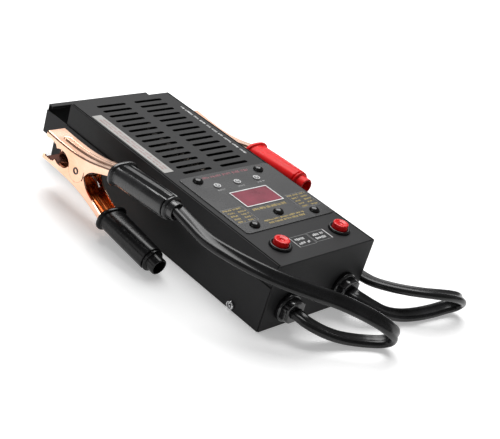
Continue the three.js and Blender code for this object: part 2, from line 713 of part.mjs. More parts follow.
// The nested half's plates are cut back round the other half's ears, and its own ears sit inside them.
function clampHalf(nested, tongueEnd) {
  const web = solidOf(sideSlab(webStrip(), -CLAMP_HALF_WIDTH, CLAMP_HALF_WIDTH));
  const rib = solidOf(sideSlab(webRib(), -RIB.halfWidth, RIB.halfWidth));
  const bore = solidOf(cylinderAlongX(PIVOT_BORE, -BEYOND, BEYOND, 0, 0, 12));
  let sidePlates = plates(earedPlate(), CLAMP_HALF_WIDTH);
  let ears = [];
  if (nested) {
    const clearance = solidOf(cylinderAlongX(EAR_RADIUS + 0.6, -BEYOND, BEYOND, 0, 0, 24));
    sidePlates = sidePlates.map((plate) => plate.subtract(clearance));
    const round = arcPoints(EAR_RADIUS, Math.PI - 0.2, 2 * Math.PI + 0.2, 10);
    const joggle = [[-9, 14.2], [-9, 2], ...round, [9, 11.8]];
    ears = plates(joggle, CLAMP_HALF_WIDTH - CLAMP_SHEET - 0.3);
  }
  return join(web, rib, tongue(tongueEnd), ...sidePlates, ...ears).subtract(bore);
}

// A vinyl sleeve: an oval collar, a body that grows round towards its end, and an open round nub.
const COLLAR = { y: -39.2, halfX: 13.4, halfZ: 9.5, thickness: 2.6 };
const SLEEVE_END_RADIUS = 9.4;
const NUB_RADIUS = 6.7;
const NUB_BORE = 5.2;
const SQUARENESS = 2.6; // exponent of the superellipse that the oval sections follow

function vinylSleeve(shoulderY, endY) {
  const endRadius = SLEEVE_END_RADIUS;
  const stations = [
    [0, COLLAR.halfX, COLLAR.halfZ],
    [-COLLAR.thickness, COLLAR.halfX, COLLAR.halfZ],
    [-COLLAR.thickness - 0.8, 10.7, 7.7],
    [shoulderY / 2, 10.3, 8.8],
    [shoulderY + 3, endRadius, endRadius],
    [shoulderY, endRadius - 1.4, endRadius - 1.4],
    [shoulderY - 0.6, NUB_RADIUS, NUB_RADIUS],
    [endY + 0.8, NUB_RADIUS, NUB_RADIUS],
    [endY, NUB_RADIUS - 0.5, NUB_RADIUS - 0.5],
  ];
  const bore = [
    [endY, NUB_BORE, NUB_BORE],
    [shoulderY + 1, NUB_BORE, NUB_BORE],
    [shoulderY + 2, 8.6, 7.2],
    [0, 8.6, 6.2],
  ];
  const loop = [...stations, ...bore, stations[0]].reverse();
  const geometry = new THREE.LatheGeometry(loop.map(([y]) => new THREE.Vector2(1, y)), 18);
  const position = geometry.attributes.position;
  for (let i = 0; i < position.count; i += 1) {
    const [, halfX, halfZ] = loop[i % loop.length];
    const c = position.getX(i);
    const s = position.getZ(i);
    const oval = (Math.abs(c) ** SQUARENESS + Math.abs(s) ** SQUARENESS) ** (-1 / SQUARENESS);
    const reach = halfX > halfZ + 0.3 ? oval : 1;
    position.setX(i, halfX * c * reach);
    position.setZ(i, halfZ * s * reach);
  }
  return geometry;
}

function placedSleeve(shoulderY, endY) {
  const sleeve = vinylSleeve(shoulderY - COLLAR.y, endY - COLLAR.y);
  return sleeve.rotateX(-Math.atan(HANDLE_SLOPE)).translate(0, COLLAR.y, handleCentre(COLLAR.y));
}

// The heads are slightly dished.
function pivotRivet() {
  const head = CLAMP_HALF_WIDTH + 0.15;
  const shank = PIVOT_BORE - 0.5;
  const profile = [
    [0, -head - 0.6],
    [2.6, -head - 0.9],
    [3.6, -head],
    [shank, -head],
    [shank, head],
    [3.6, head],
    [2.6, head + 0.9],
    [0, head + 0.6],
  ];
  return turned(profile, 12).rotateY(Math.PI / 2);
}

// The spring coils round the rivet, with a leg inside each handle.
const SPRING = { radius: 5.4, wire: 0.9, turns: 4.5, span: 9.4, stepsPerTurn: 8, start: 0.62 * Math.PI };

function torsionSpring() {
  const { radius, wire, turns, span, stepsPerTurn, start } = SPRING;
  const end = span / 2;
  const count = turns * stepsPerTurn;
  const points = [[-end, -22, 13.5], [-end, -13, 9.8]];
  for (let i = 0; i <= count; i += 1) {
    const angle = start + (2 * Math.PI * i) / stepsPerTurn;
    points.push([-end + (span * i) / count, radius * Math.cos(angle), radius * Math.sin(angle)]);
  }
  points.push([end, -10, -5.2], [end, -15.5, -8]);
  const curve = new THREE.CatmullRomCurve3(points.map((p) => new THREE.Vector3(...p)), false, 'centripetal');
  return tube(curve, wire, wire, 48, 5);
}

const CABLE_TONGUE_END = -88;
const PLAIN_TONGUE_END = -85;
const cableSleeve = () => placedSleeve(-97.5, -106.5);
const plainSleeve = () => placedSleeve(-93.5, -101);

// The clamp stands upright beside the case with its jaws towards the handle end. pitch lifts the jaw tips;
// opening swings the moving half beyond the symmetrical pose. cableSide is 1 where the lead enters the
// upper half and -1 where it enters the lower one.
function clamp(name, { x, y, z, pitch, cableSide, opening, vinyl }) {
  const frame = new THREE.Group();
  frame.position.set(x, y, z);
  frame.rotation.x = THREE.MathUtils.degToRad(pitch);
  model.add(frame);
  const fixed = new THREE.Group();
  const moving = new THREE.Group();
  fixed.rotation.y = cableSide > 0 ? 0 : Math.PI;
  moving.rotation.y = Math.PI - fixed.rotation.y;
  const swing = new THREE.Group();
  swing.rotation.x = -cableSide * THREE.MathUtils.degToRad(opening);
  swing.add(moving);
  frame.add(fixed, swing);
  addPiece(fixed, `${name}_clamp_cable_half`, clampHalf(false, CABLE_TONGUE_END), copper);
  addPiece(fixed, `${name}_clamp_cable_sleeve`, cableSleeve(), vinyl);
  addPiece(fixed, `${name}_clamp_spring`, torsionSpring(), steel);
  addPiece(fixed, `${name}_clamp_rivet`, pivotRivet(), steel);
  addPiece(moving, `${name}_clamp_moving_half`, clampHalf(true, PLAIN_TONGUE_END), copper);
  addPiece(moving, `${name}_clamp_moving_sleeve`, plainSleeve(), vinyl);
}

const BLACK_CLAMP = { x: -79.3, y: 46, z: 35.4, pitch: 0.9, cableSide: 1, opening: 0, vinyl: blackVinyl };
const RED_CLAMP = { x: 67.2, y: 50.8, z: 30.2, pitch: -2.6, cableSide: -1, opening: 5.6, vinyl: redVinyl };
clamp('black', BLACK_CLAMP);
clamp('red', RED_CLAMP);

// ---------------------------------------------------------------- leads

// A flat lead's route. Its width starts level and turns about the route by the given stops, each a
// fraction of the length and an angle in degrees, so that the lead lies flat where it rests.
class FlatLeadCurve extends THREE.CatmullRomCurve3 {
  constructor(route, twist) {
    super(route.map((point) => new THREE.Vector3(...point)), false, 'centripetal');
    this.twist = twist;
  }

  twistAt(u) {
    const next = Math.max(1, this.twist.findIndex(([stop]) => stop >= u));
    const [u0, angle0] = this.twist[next - 1];
    const [u1, angle1] = this.twist[next];
    return THREE.MathUtils.degToRad(angle0 + ((angle1 - angle0) * (u - u0)) / (u1 - u0));
  }

  computeFrenetFrames(segments) {
    const tangents = [];
    const normals = [];
    const binormals = [];
    const across = new THREE.Vector3(1, 0, 0);
    for (let i = 0; i <= segments; i += 1) {
      const tangent = this.getTangentAt(i / segments);
      across.addScaledVector(tangent, -across.dot(tangent)).normalize();
      const normal = across.clone().applyAxisAngle(tangent, this.twistAt(i / segments));
      tangents.push(tangent);
      normals.push(normal);
      binormals.push(tangent.clone().cross(normal));
    }
    return { tangents, normals, binormals };
  }
}

const LEAD_STEPS = 36;

function lead(route, twist) {
  return tube(new FlatLeadCurve(route, twist), LEAD_WIDTH / 2, LEAD_THICKNESS / 2, LEAD_STEPS, 8);
}

// Each route runs from the clamp's cable sleeve to the strain-relief bush.
const glandFaceY = FRONT_Y - GLAND.reach - TOUCH_GAP;
const blackRoute = [
  [-79.3, -61.6, 59.6],
  [-80.6, -75, 58.8],
  [-81.4, -93.3, 57.6],
  [-75.9, -110.4, 55.8],
  [-67.4, -126.8, 53.6],
  [-56, -141.9, 50.8],
  [-37.8, -158, 46.4],
  [-19.3, -170.9, 41.4],
  [-4.9, -182.6, 36.2],
  [6.8, -191.3, 30.6],
  [16.7, -195.8, 24],
  [25.6, -196.3, 16.6],
  [28.7, -193.4, 9.4],
  [25.3, -188.2, 5],
  [16.9, -182.5, 3.8],
  [7, -176.9, 4.2],
  [-3.7, -171.6, 6],
  [-14, -166.7, 9.4],
  [-23.1, -161.7, 13.6],
  [-28.6, -156.4, 16.5],
  [-GLAND.offsetX, glandFaceY - 4, GLAND.leftZ],
  [-GLAND.offsetX, glandFaceY, GLAND.leftZ],
];
const redRoute = [
  [67.2, -58, 10.2],
  [66.4, -74, 10.3],
  [65.2, -92, 11],
  [64.2, -108, 12.6],
  [63.6, -123, 15],
  [61.8, -141.4, 18.3],
  [66.1, -155.7, 21.3],
  [73.7, -167.1, 23.4],
  [83.6, -176, 24.4],
  [94.5, -182.8, 24.4],
  [107, -186.5, 22],
  [118.5, -187.7, 17.6],
  [125.2, -185.9, 12],
  [124.8, -183, 7],
  [116.6, -180.1, 4.6],
  [101.1, -177.9, 3.6],
  [83.7, -175, 3.6],
  [66.9, -171.4, 5.2],
  [52.3, -167.3, 9.2],
  [41.8, -161.8, 14],
  [34.2, -157.2, 18],
  [GLAND.offsetX, glandFaceY - 5, GLAND.rightZ],
  [GLAND.offsetX, glandFaceY, GLAND.rightZ],
];
const BLACK_TWIST = [[0, 0], [0.05, 0], [0.3, 38], [0.85, 38], [1, 26]];
const RED_TWIST = [[0, 0], [0.45, 0], [0.65, 36], [0.85, 36], [1, 22]];
addPiece(model, 'black_lead', lead(blackRoute, BLACK_TWIST), blackVinyl);
addPiece(model, 'red_lead', lead(redRoute, RED_TWIST), blackVinyl);

export default model;
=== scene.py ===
import json
import math
import random

import bmesh
import bpy
import numpy as np
from mathutils import Matrix, Vector


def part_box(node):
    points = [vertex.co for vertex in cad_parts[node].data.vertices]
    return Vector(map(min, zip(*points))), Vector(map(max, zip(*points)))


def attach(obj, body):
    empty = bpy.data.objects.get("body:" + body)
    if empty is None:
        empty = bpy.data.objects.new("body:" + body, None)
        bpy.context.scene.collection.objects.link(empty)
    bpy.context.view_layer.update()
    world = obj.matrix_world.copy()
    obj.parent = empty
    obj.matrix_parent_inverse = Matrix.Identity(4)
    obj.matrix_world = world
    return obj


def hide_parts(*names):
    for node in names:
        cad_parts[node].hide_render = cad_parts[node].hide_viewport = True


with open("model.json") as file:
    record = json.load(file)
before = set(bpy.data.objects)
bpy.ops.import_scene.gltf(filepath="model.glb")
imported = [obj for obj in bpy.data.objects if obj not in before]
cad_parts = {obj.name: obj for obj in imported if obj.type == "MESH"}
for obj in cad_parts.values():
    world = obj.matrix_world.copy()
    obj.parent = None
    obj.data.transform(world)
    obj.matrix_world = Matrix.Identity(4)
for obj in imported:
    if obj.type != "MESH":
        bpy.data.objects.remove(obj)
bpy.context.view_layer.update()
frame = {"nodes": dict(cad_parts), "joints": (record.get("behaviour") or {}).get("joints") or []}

# Shapes are worked out in millimetres, in the part's own frame, and become metres when a piece is made.
MM = 0.001
JOINTS = {joint["name"]: joint for joint in frame["joints"]}


def box_mm(node):
    """The lowest and highest corners of a CAD node, in millimetres."""
    low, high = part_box(node)
    return np.array(low) / MM, np.array(high) / MM


def centre_mm(node):
    low, high = box_mm(node)
    return (low + high) / 2


# ---------------- camera

def place_camera():
    data = bpy.data.cameras.new("camera")
    data.sensor_fit = "HORIZONTAL"
    data.sensor_width = 36.0
    data.lens = 78.84
    data.dof.use_dof = False
    camera = bpy.data.objects.new("camera", data)
    right = Vector((0.69879, -0.66653, 0.25965))
    up = Vector((0.17302, 0.50970, 0.84278))
    back = Vector((-0.69408, -0.54401, 0.47149))
    turn = Matrix((right, up, back)).transposed().to_4x4()
    camera.matrix_world = Matrix.Translation(Vector((-0.57788, -0.51195, 0.42970))) @ turn
    bpy.context.scene.collection.objects.link(camera)
    bpy.context.scene.camera = camera


place_camera()

# ---------------- shapes
# A shape is a pair: an array of points in millimetres and a list of faces.


def together(*shapes):
    """Several shapes as one."""
    points, faces, count = [], [], 0
    for shape_points, shape_faces in shapes:
        points.append(np.asarray(shape_points, float))
        faces += [[count + i for i in face] for face in shape_faces]
        count += len(shape_points)
    return np.vstack(points), faces


def moved(shape, matrix):
    points = np.asarray(shape[0], float)
    m = np.array(matrix, float)
    return points @ m[:3, :3].T + m[:3, 3], shape[1]


def shifted(shape, x=0.0, y=0.0, z=0.0):
    return moved(shape, Matrix.Translation((x, y, z)))


def turned(shape, axis, degrees):
    return moved(shape, Matrix.Rotation(math.radians(degrees), 4, axis))


def rounded(points, radius, steps=3, closed=False):
    """A polyline whose corners are rounded off, each by at most a radius."""
    corners = [Vector(p) for p in points]
    result = []
    for i, corner in enumerate(corners):
        if not closed and i in (0, len(corners) - 1):
            result.append(tuple(corner))
            continue
        before = corners[i - 1] - corner
        after = corners[(i + 1) % len(corners)] - corner
        cut = min(radius, 0.45 * before.length, 0.45 * after.length)
        start = corner + before.normalized() * cut
        end = corner + after.normalized() * cut
        for k in range(steps + 1):
            t = k / steps
            result.append(tuple(start * (1 - t) ** 2 + corner * 2 * t * (1 - t) + end * t * t))
    return result


def lathe(profile, segments=48, closed=False):
    """(radius, z) pairs turned about Z. A radius of 0 is a point on the axis."""
    points, rings = [], []
    for radius, z in profile:
        first = len(points)
        if radius < 1e-6:
            points.append((0.0, 0.0, z))
        else:
            for i in range(segments):
                angle = 2 * math.pi * i / segments
                points.append((radius * math.cos(angle), radius * math.sin(angle), z))
        rings.append(range(first, len(points)))
    pairs = list(zip(rings, rings[1:]))
    if closed:
        pairs.append((rings[-1], rings[0]))
    faces = []
    for low, high in pairs:
        for i in range(segments):
            j = (i + 1) % segments
            corners = [low[i % len(low)], low[j % len(low)], high[j % len(high)], high[i % len(high)]]
            face = list(dict.fromkeys(corners))
            if len(face) > 2:
                faces.append(face)
    return np.array(points), faces


def loft(rings, ends="caps"):
    """A skin over rings of equally many points. ends is caps, loop (the last joins the first) or open."""
    count = len(rings[0])
    faces = []
    pairs = [(k, k + 1) for k in range(len(rings) - 1)]
    if ends == "loop":
        pairs.append((len(rings) - 1, 0))
    for k, n in pairs:
        for i in range(count):
            j = (i + 1) % count
            faces.append([k * count + i, k * count + j, n * count + j, n * count + i])
    if ends == "caps":
        faces.append(list(range(count))[::-1])
        faces.append([(len(rings) - 1) * count + i for i in range(count)])
    return np.vstack([np.asarray(ring, float) for ring in rings]), faces


def prism(outline, low, high):
    """An outline of (x, y) points extruded along Z."""
    return loft([[(x, y, low) for x, y in outline], [(x, y, high) for x, y in outline]])


def block(low, high):
    (x0, y0, z0), (x1, y1, z1) = low, high
    return prism([(x0, y0), (x1, y0), (x1, y1), (x0, y1)], z0, z1)


def round_rectangle(x, y, half_x, half_y, radius, steps=8):
    """The outline of a rectangle with round corners."""
    points = []
    for quarter, (sx, sy) in enumerate([(1, 1), (-1, 1), (-1, -1), (1, -1)]):
        for k in range(steps + 1):
            angle = math.pi / 2 * (quarter + k / steps)
            points.append((
                x + sx * (half_x - radius) + radius * math.cos(angle),
                y + sy * (half_y - radius) + radius * math.sin(angle),
            ))
    return points


def disc(x, y, radius, steps=32):
    return [
        (x + radius * math.cos(2 * math.pi * i / steps), y + radius * math.sin(2 * math.pi * i / steps))
        for i in range(steps)
    ]


def sweep(centres, across, section):
    """A closed tube: section is (a, b) pairs, a measured along the across vector of each centre."""
    centres = np.asarray(centres, float)
    tangents = np.gradient(centres, axis=0)
    tangents /= np.linalg.norm(tangents, axis=1)[:, None]
    rings = []
    for centre, tangent, normal in zip(centres, tangents, across):
        up = np.cross(tangent, normal)
        rings.append([centre + a * normal + b * up for a, b in section])
    return loft(rings)


def carried(centres, first):
    """Unit vectors square to a line of centres, carried along it without twist from a first direction."""
    tangents = np.gradient(np.asarray(centres, float), axis=0)
    tangents /= np.linalg.norm(tangents, axis=1)[:, None]
    normal = np.asarray(first, float)
    normals = []
    for tangent in tangents:
        normal = normal - tangent * normal.dot(tangent)
        normal = normal / np.linalg.norm(normal)
        normals.append(normal)
    return tangents, normals


def wire(centres, radius, sides=10):
    section = disc(0, 0, radius, sides)
    _, normals = carried(centres, (0.3, 0.5, 0.8))
    return sweep(centres, normals, section)


def centripetal(points, per_span=24):
    """Fine points on a centripetal Catmull-Rom curve through the given points."""
    p = [np.asarray(q, float) for q in points]
    p = [2 * p[0] - p[1]] + p + [2 * p[-1] - p[-2]]
    fine = []
    for a, b, c, d in zip(p, p[1:], p[2:], p[3:]):
        t0, t1, t2 = (max(np.linalg.norm(v - u) ** 0.5, 1e-4) for u, v in ((a, b), (b, c), (c, d)))
        start = ((b - a) / t0 - (c - a) / (t0 + t1) + (c - b) / t1) * t1
        end = ((c - b) / t1 - (d - b) / (t1 + t2) + (d - c) / t2) * t1
        for k in range(per_span):
            t = k / per_span
            fine.append(
                (2 * t**3 - 3 * t**2 + 1) * b + (t**3 - 2 * t**2 + t) * start
                + (3 * t**2 - 2 * t**3) * c + (t**3 - t**2) * end
            )
    fine.append(p[-2])
    return np.array(fine)


def evenly(points, count):
    """The same line in equal steps, and its length."""
    steps = np.linalg.norm(np.diff(points, axis=0), axis=1)
    along = np.concatenate([[0.0], np.cumsum(steps)])
    wanted = np.linspace(0.0, along[-1], count)
    return np.stack([np.interp(wanted, along, points[:, k]) for k in range(3)], axis=1), along[-1]


def spline(points, at):
    """A smooth curve y(x) through points in ascending x."""
    x, y = (np.array(v, float) for v in zip(*points))
    slope = np.gradient(y, x)
    i = int(np.clip(np.searchsorted(x, at) - 1, 0, len(x) - 2))
    step = x[i + 1] - x[i]
    t = (at - x[i]) / step
    return (
        (2 * t**3 - 3 * t**2 + 1) * y[i] + (t**3 - 2 * t**2 + t) * step * slope[i]
        + (3 * t**2 - 2 * t**3) * y[i + 1] + (t**3 - t**2) * step * slope[i + 1]
    )


# ---------------- making pieces

SHARP = math.radians(38)


def mesh_object(name, shape):
    """A Blender object from a shape, its faces turned outwards."""
    points, faces = shape
    mesh = bpy.data.meshes.new(name)
    mesh.from_pydata([tuple(p) for p in np.asarray(points, float) * MM], [], faces)
    bm = bmesh.new()
    bm.from_mesh(mesh)
    bmesh.ops.recalc_face_normals(bm, faces=bm.faces)
    bm.to_mesh(mesh)
    bm.free()
    obj = bpy.data.objects.new(name, mesh)
    bpy.context.scene.collection.objects.link(obj)
    return obj


def settle(obj):
    """Applies the modifiers of an object."""
    graph = bpy.context.evaluated_depsgraph_get()
    graph.update()
    mesh = bpy.data.meshes.new_from_object(obj.evaluated_get(graph))
    obj.modifiers.clear()
    obj.data = mesh
    return obj


def combined(obj, shape, operation):
    """Joins a shape to an object, or cuts it away, by an exact boolean."""
    other = mesh_object("tool", shape)
    modifier = obj.modifiers.new(operation.lower(), "BOOLEAN")
    modifier.operation = operation
    modifier.solver = "EXACT"
    modifier.object = other
    settle(obj)
    bpy.data.objects.remove(other)
    return obj


def soften(obj, width, segments=2, limit=35):
    """Rounds the edges that are sharper than a limit in degrees."""
    modifier = obj.modifiers.new("edges", "BEVEL")
    modifier.width = width * MM
    modifier.segments = segments
    modifier.limit_method = "ANGLE"
    modifier.angle_limit = math.radians(limit)
    return settle(obj)


def finished(obj, body, material, replaces=(), sharp=SHARP):
    """Gives a piece its body, material (None keeps the one it has) and smooth shading."""
    mesh = obj.data
    if material:
        mesh.materials.clear()
        mesh.materials.append(material)
    mesh.shade_smooth()
    mesh.set_sharp_from_angle(angle=sharp)
    obj.modifiers.new("flat_faces", "WEIGHTED_NORMAL").keep_sharp = True
    settle(obj)
    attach(obj, body)
    if replaces:
        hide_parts(*replaces)


# ---------------- materials

def mix(nodes, links, factor, first, second):
    """A colour that goes from first to second as factor goes from 0 to 1."""
    node = nodes.new("ShaderNodeMix")
    node.data_type = "RGBA"
    links.new(factor, node.inputs["Factor"])
    for socket, value in ((node.inputs[6], first), (node.inputs[7], second)):
        if isinstance(value, tuple):
            socket.default_value = (*value, 1.0)
        else:
            links.new(value, socket)
    return node.outputs[2]


def ranged(nodes, links, value, low, high, to_low, to_high):
    node = nodes.new("ShaderNodeMapRange")
    links.new(value, node.inputs["Value"])
    for name, number in (("From Min", low), ("From Max", high), ("To Min", to_low), ("To Max", to_high)):
        node.inputs[name].default_value = number
    return node.outputs["Result"]


def noise(nodes, links, scale, detail=3.0, stretch=(1.0, 1.0, 1.0)):
    """Noise in the piece's own coordinates, with a scale per metre."""
    place = nodes.new("ShaderNodeTexCoord")
    mapping = nodes.new("ShaderNodeMapping")
    mapping.inputs["Scale"].default_value = stretch
    texture = nodes.new("ShaderNodeTexNoise")
    texture.inputs["Scale"].default_value = scale
    texture.inputs["Detail"].default_value = detail
    links.new(place.outputs["Object"], mapping.inputs["Vector"])
    links.new(mapping.outputs["Vector"], texture.inputs["Vector"])
    return texture.outputs["Fac"]


COAT_ROUGHNESS = 0.05


def substance(
    name, dark, light, rough, metallic=0.0, grain=900.0, stretch=(1.0, 1.0, 1.0),
    mottle=35.0, bump=0.01, strength=0.3, specular=0.5, coat=0.0, shade_fade=None,
):
    """A procedural material: two tones mixed by a fine grain and a broad mottle.

    rough is the lowest and highest roughness, and bump the height of the grain in millimetres. shade_fade is
    a third tone, a painted shade, and the two places along Y, in metres, between which it takes over.
    """
    material = bpy.data.materials.new(name)
    material.use_nodes = True
    nodes = material.node_tree.nodes
    links = material.node_tree.links
    shader = nodes["Principled BSDF"]
    fine = noise(nodes, links, grain, 4.0, stretch)
    broad = noise(nodes, links, mottle, 2.0)
    tone = nodes.new("ShaderNodeMath")
    tone.operation = "MULTIPLY_ADD"
    links.new(fine, tone.inputs[0])
    tone.inputs[1].default_value = 0.55
    links.new(ranged(nodes, links, broad, 0.3, 0.7, 0.0, 0.45), tone.inputs[2])
    colour = mix(nodes, links, ranged(nodes, links, tone.outputs[0], 0.25, 0.75, 0.0, 1.0), dark, light)
    if shade_fade:
        tone_at_end, start, end = shade_fade
        place = nodes.new("ShaderNodeTexCoord")
        axes = nodes.new("ShaderNodeSeparateXYZ")
        links.new(place.outputs["Object"], axes.inputs[0])
        share = ranged(nodes, links, axes.outputs["Y"], start, end, 0.0, 1.0)
        colour = mix(nodes, links, share, colour, tone_at_end)
    links.new(colour, shader.inputs["Base Color"])
    links.new(ranged(nodes, links, broad, 0.3, 0.7, *rough), shader.inputs["Roughness"])
    shader.inputs["Metallic"].default_value = metallic
    shader.inputs["Specular IOR Level"].default_value = specular
    shader.inputs["Coat Weight"].default_value = coat
    shader.inputs["Coat Roughness"].default_value = COAT_ROUGHNESS
    relief = nodes.new("ShaderNodeBump")
    relief.inputs["Strength"].default_value = strength
    relief.inputs["Distance"].default_value = bump * MM
    links.new(fine, relief.inputs["Height"])
    links.new(relief.outputs["Normal"], shader.inputs["Normal"])
    return material


POWDER = substance(
    "black_powder_coat", (0.009, 0.009, 0.0095), (0.021, 0.021, 0.022), (0.42, 0.56),
    grain=1500, bump=0.02, strength=0.35, mottle=22, specular=0.16,
)
# Near-black and matte: painted shade, for the blocks in the bottom of the cover's joint lines.
PAINTED_SHADE = substance(
    "joint_painted_shade", (0.0010, 0.0010, 0.0011), (0.0030, 0.0030, 0.0032), (0.75, 0.95),
    grain=1500, bump=0.02, strength=0.3, mottle=60, specular=0.02,
)
OVERLAY = substance(
    "grey_printed_overlay", (0.015, 0.015, 0.016), (0.027, 0.027, 0.028), (0.22, 0.30),
    grain=2200, bump=0.008, strength=0.25, mottle=30, specular=0.4,
)
COPPER = substance(
    "polished_copper_plate", (0.93, 0.50, 0.32), (0.98, 0.66, 0.50), (0.10, 0.22), metallic=1.0,
    grain=500, stretch=(6.0, 0.5, 6.0), bump=0.004, strength=0.25, mottle=45,
)
BLACK_VINYL = substance(
    "black_dipped_vinyl", (0.003, 0.003, 0.0033), (0.007, 0.007, 0.0075), (0.22, 0.30),
    grain=420, bump=0.02, strength=0.2, mottle=60, specular=0.3,
)
# A paler copy of the black vinyl for the cable-side sleeve: its lighter base is painted light, where that
# sleeve faces the lamps.
BLACK_VINYL_PAINTED_LIGHT = substance(
    "black_vinyl_painted_light", (0.004, 0.004, 0.0045), (0.012, 0.012, 0.013), (0.22, 0.31),
    grain=420, bump=0.03, strength=0.22, mottle=60, specular=0.7,
)
CABLE_VINYL = substance(
    "black_cable_jacket", (0.006, 0.006, 0.006), (0.012, 0.012, 0.013), (0.20, 0.27),
    grain=500, bump=0.002, strength=0.1, mottle=70, specular=0.32,
)
RED_VINYL = substance(
    "red_dipped_vinyl", (0.64, 0.006, 0.008), (0.82, 0.013, 0.013), (0.28, 0.42),
    grain=420, bump=0.02, strength=0.2, mottle=60, specular=0.15,
)
RED_CAP = substance(
    "red_gloss_plastic", (0.64, 0.006, 0.008), (0.82, 0.013, 0.013), (0.16, 0.26),
    grain=1200, bump=0.004, strength=0.2, mottle=150, specular=0.35,
)
GLOSS_BLACK = substance(
    "glossy_black_oxide", (0.004, 0.004, 0.004), (0.010, 0.010, 0.010), (0.10, 0.17),
    grain=1200, bump=0.002, strength=0.15, mottle=120, specular=0.35, coat=0.1,
)
NYLON = substance(
    "black_moulded_nylon", (0.004, 0.004, 0.0045), (0.010, 0.010, 0.011), (0.14, 0.24),
    grain=1100, bump=0.01, strength=0.25, mottle=110, specular=0.7,
)
ZINC = substance(
    "zinc_plated_steel", (0.55, 0.55, 0.56), (0.78, 0.78, 0.79), (0.18, 0.32), metallic=1.0,
    grain=1400, bump=0.004, strength=0.25, mottle=160,
)
DARK_STEEL = substance(
    "blackened_steel", (0.05, 0.05, 0.052), (0.12, 0.12, 0.124), (0.30, 0.45), metallic=1.0,
    grain=1400, bump=0.006, strength=0.3, mottle=140,
)
# The clamp sheet's inner faces: the copper darkened as painted shade, and darker again to near black along Y
# as painted shade deep in the jaws.
COPPER_PAINTED_SHADE = substance(
    "copper_inside_painted_shade", (0.50, 0.13, 0.034), (0.86, 0.30, 0.09), (0.16, 0.30), metallic=1.0,
    grain=420, stretch=(5.0, 0.6, 5.0), bump=0.01, strength=0.3, mottle=55,
    shade_fade=((0.09, 0.022, 0.010), 0.050, 0.072),
)
WHITE_PLASTIC = substance(
    "white_moulded_plastic", (0.66, 0.66, 0.66), (0.80, 0.80, 0.80), (0.25, 0.36),
    grain=1300, bump=0.004, strength=0.2, mottle=140,
)
LENS = substance(
    "clouded_lamp_lens", (0.20, 0.205, 0.205), (0.34, 0.345, 0.345), (0.20, 0.30),
    grain=1500, bump=0.01, strength=0.3, mottle=600, coat=0.5,
)
WINDOW_RED = substance(
    "tinted_display_window", (0.15, 0.008, 0.026), (0.24, 0.016, 0.044), (0.26, 0.36),
    grain=800, bump=0.002, strength=0.15, mottle=70, specular=0.25,
)
GREEN_BOARD = substance(
    "glass_epoxy_board", (0.010, 0.085, 0.030), (0.020, 0.16, 0.055), (0.25, 0.40),
    grain=900, stretch=(4.0, 0.4, 1.0), bump=0.03, strength=0.5, mottle=180,
)
BRASS = substance(
    "turned_brass", (0.62, 0.43, 0.18), (0.80, 0.60, 0.30), (0.20, 0.34), metallic=1.0,
    grain=1200, stretch=(1.0, 1.0, 8.0), bump=0.006, strength=0.3, mottle=120,
)
CERAMIC = substance(
    "unglazed_ceramic", (0.030, 0.026, 0.022), (0.060, 0.052, 0.045), (0.62, 0.78),
    grain=1100, bump=0.04, strength=0.4, mottle=90,
)
NICHROME = substance(
    "heat_tinted_wire", (0.050, 0.045, 0.042), (0.11, 0.095, 0.080), (0.38, 0.55), metallic=1.0,
    grain=900, bump=0.006, strength=0.3, mottle=120,
)
MICA = substance(
    "pressed_mica", (0.050, 0.038, 0.024), (0.10, 0.080, 0.052), (0.50, 0.66),
    grain=700, stretch=(1.0, 1.0, 3.0), bump=0.03, strength=0.4, mottle=200,
)


def ink(name, dark, light):
    return substance(name, dark, light, (0.38, 0.5), grain=2600, bump=0.004, strength=0.2, mottle=500)


YELLOW_INK = ink("yellow_print", (0.27, 0.19, 0.035), (0.42, 0.31, 0.075))
WHITE_INK = ink("white_print", (0.55, 0.55, 0.55), (0.80, 0.80, 0.80))
GREY_INK = ink("grey_print", (0.16, 0.16, 0.16), (0.28, 0.28, 0.28))
RED_INK = ink("red_print", (0.17, 0.035, 0.05), (0.28, 0.055, 0.075))
LABEL_INK = ink("faded_red_print", (0.26, 0.115, 0.105), (0.34, 0.17, 0.16))
LABEL_FILM = substance(
    "label_film_paper", (0.31, 0.305, 0.29), (0.40, 0.39, 0.375), (0.34, 0.48),
    grain=1600, bump=0.006, strength=0.2, mottle=60,
)

# ---------------- leads
# Each route runs from its clamp's cable sleeve to its bush, and repeats the part's own points.

LEAD_WIDTH = 11.6
CONDUCTOR = 2.9  # radius of each of the two insulated conductors
LEAD_TUCK = 6.0  # how far the lead goes on into its sleeve and its bush
LOWEST_Z = 0.05
GLAND_REACH = 10.0
FRONT_Y = box_mm("top_cover")[0][1]
GLAND_FACE_Y = FRONT_Y - GLAND_REACH - 0.3
LEFT_BUSH = centre_mm("lead_bush_left")
RIGHT_BUSH = centre_mm("lead_bush_right")

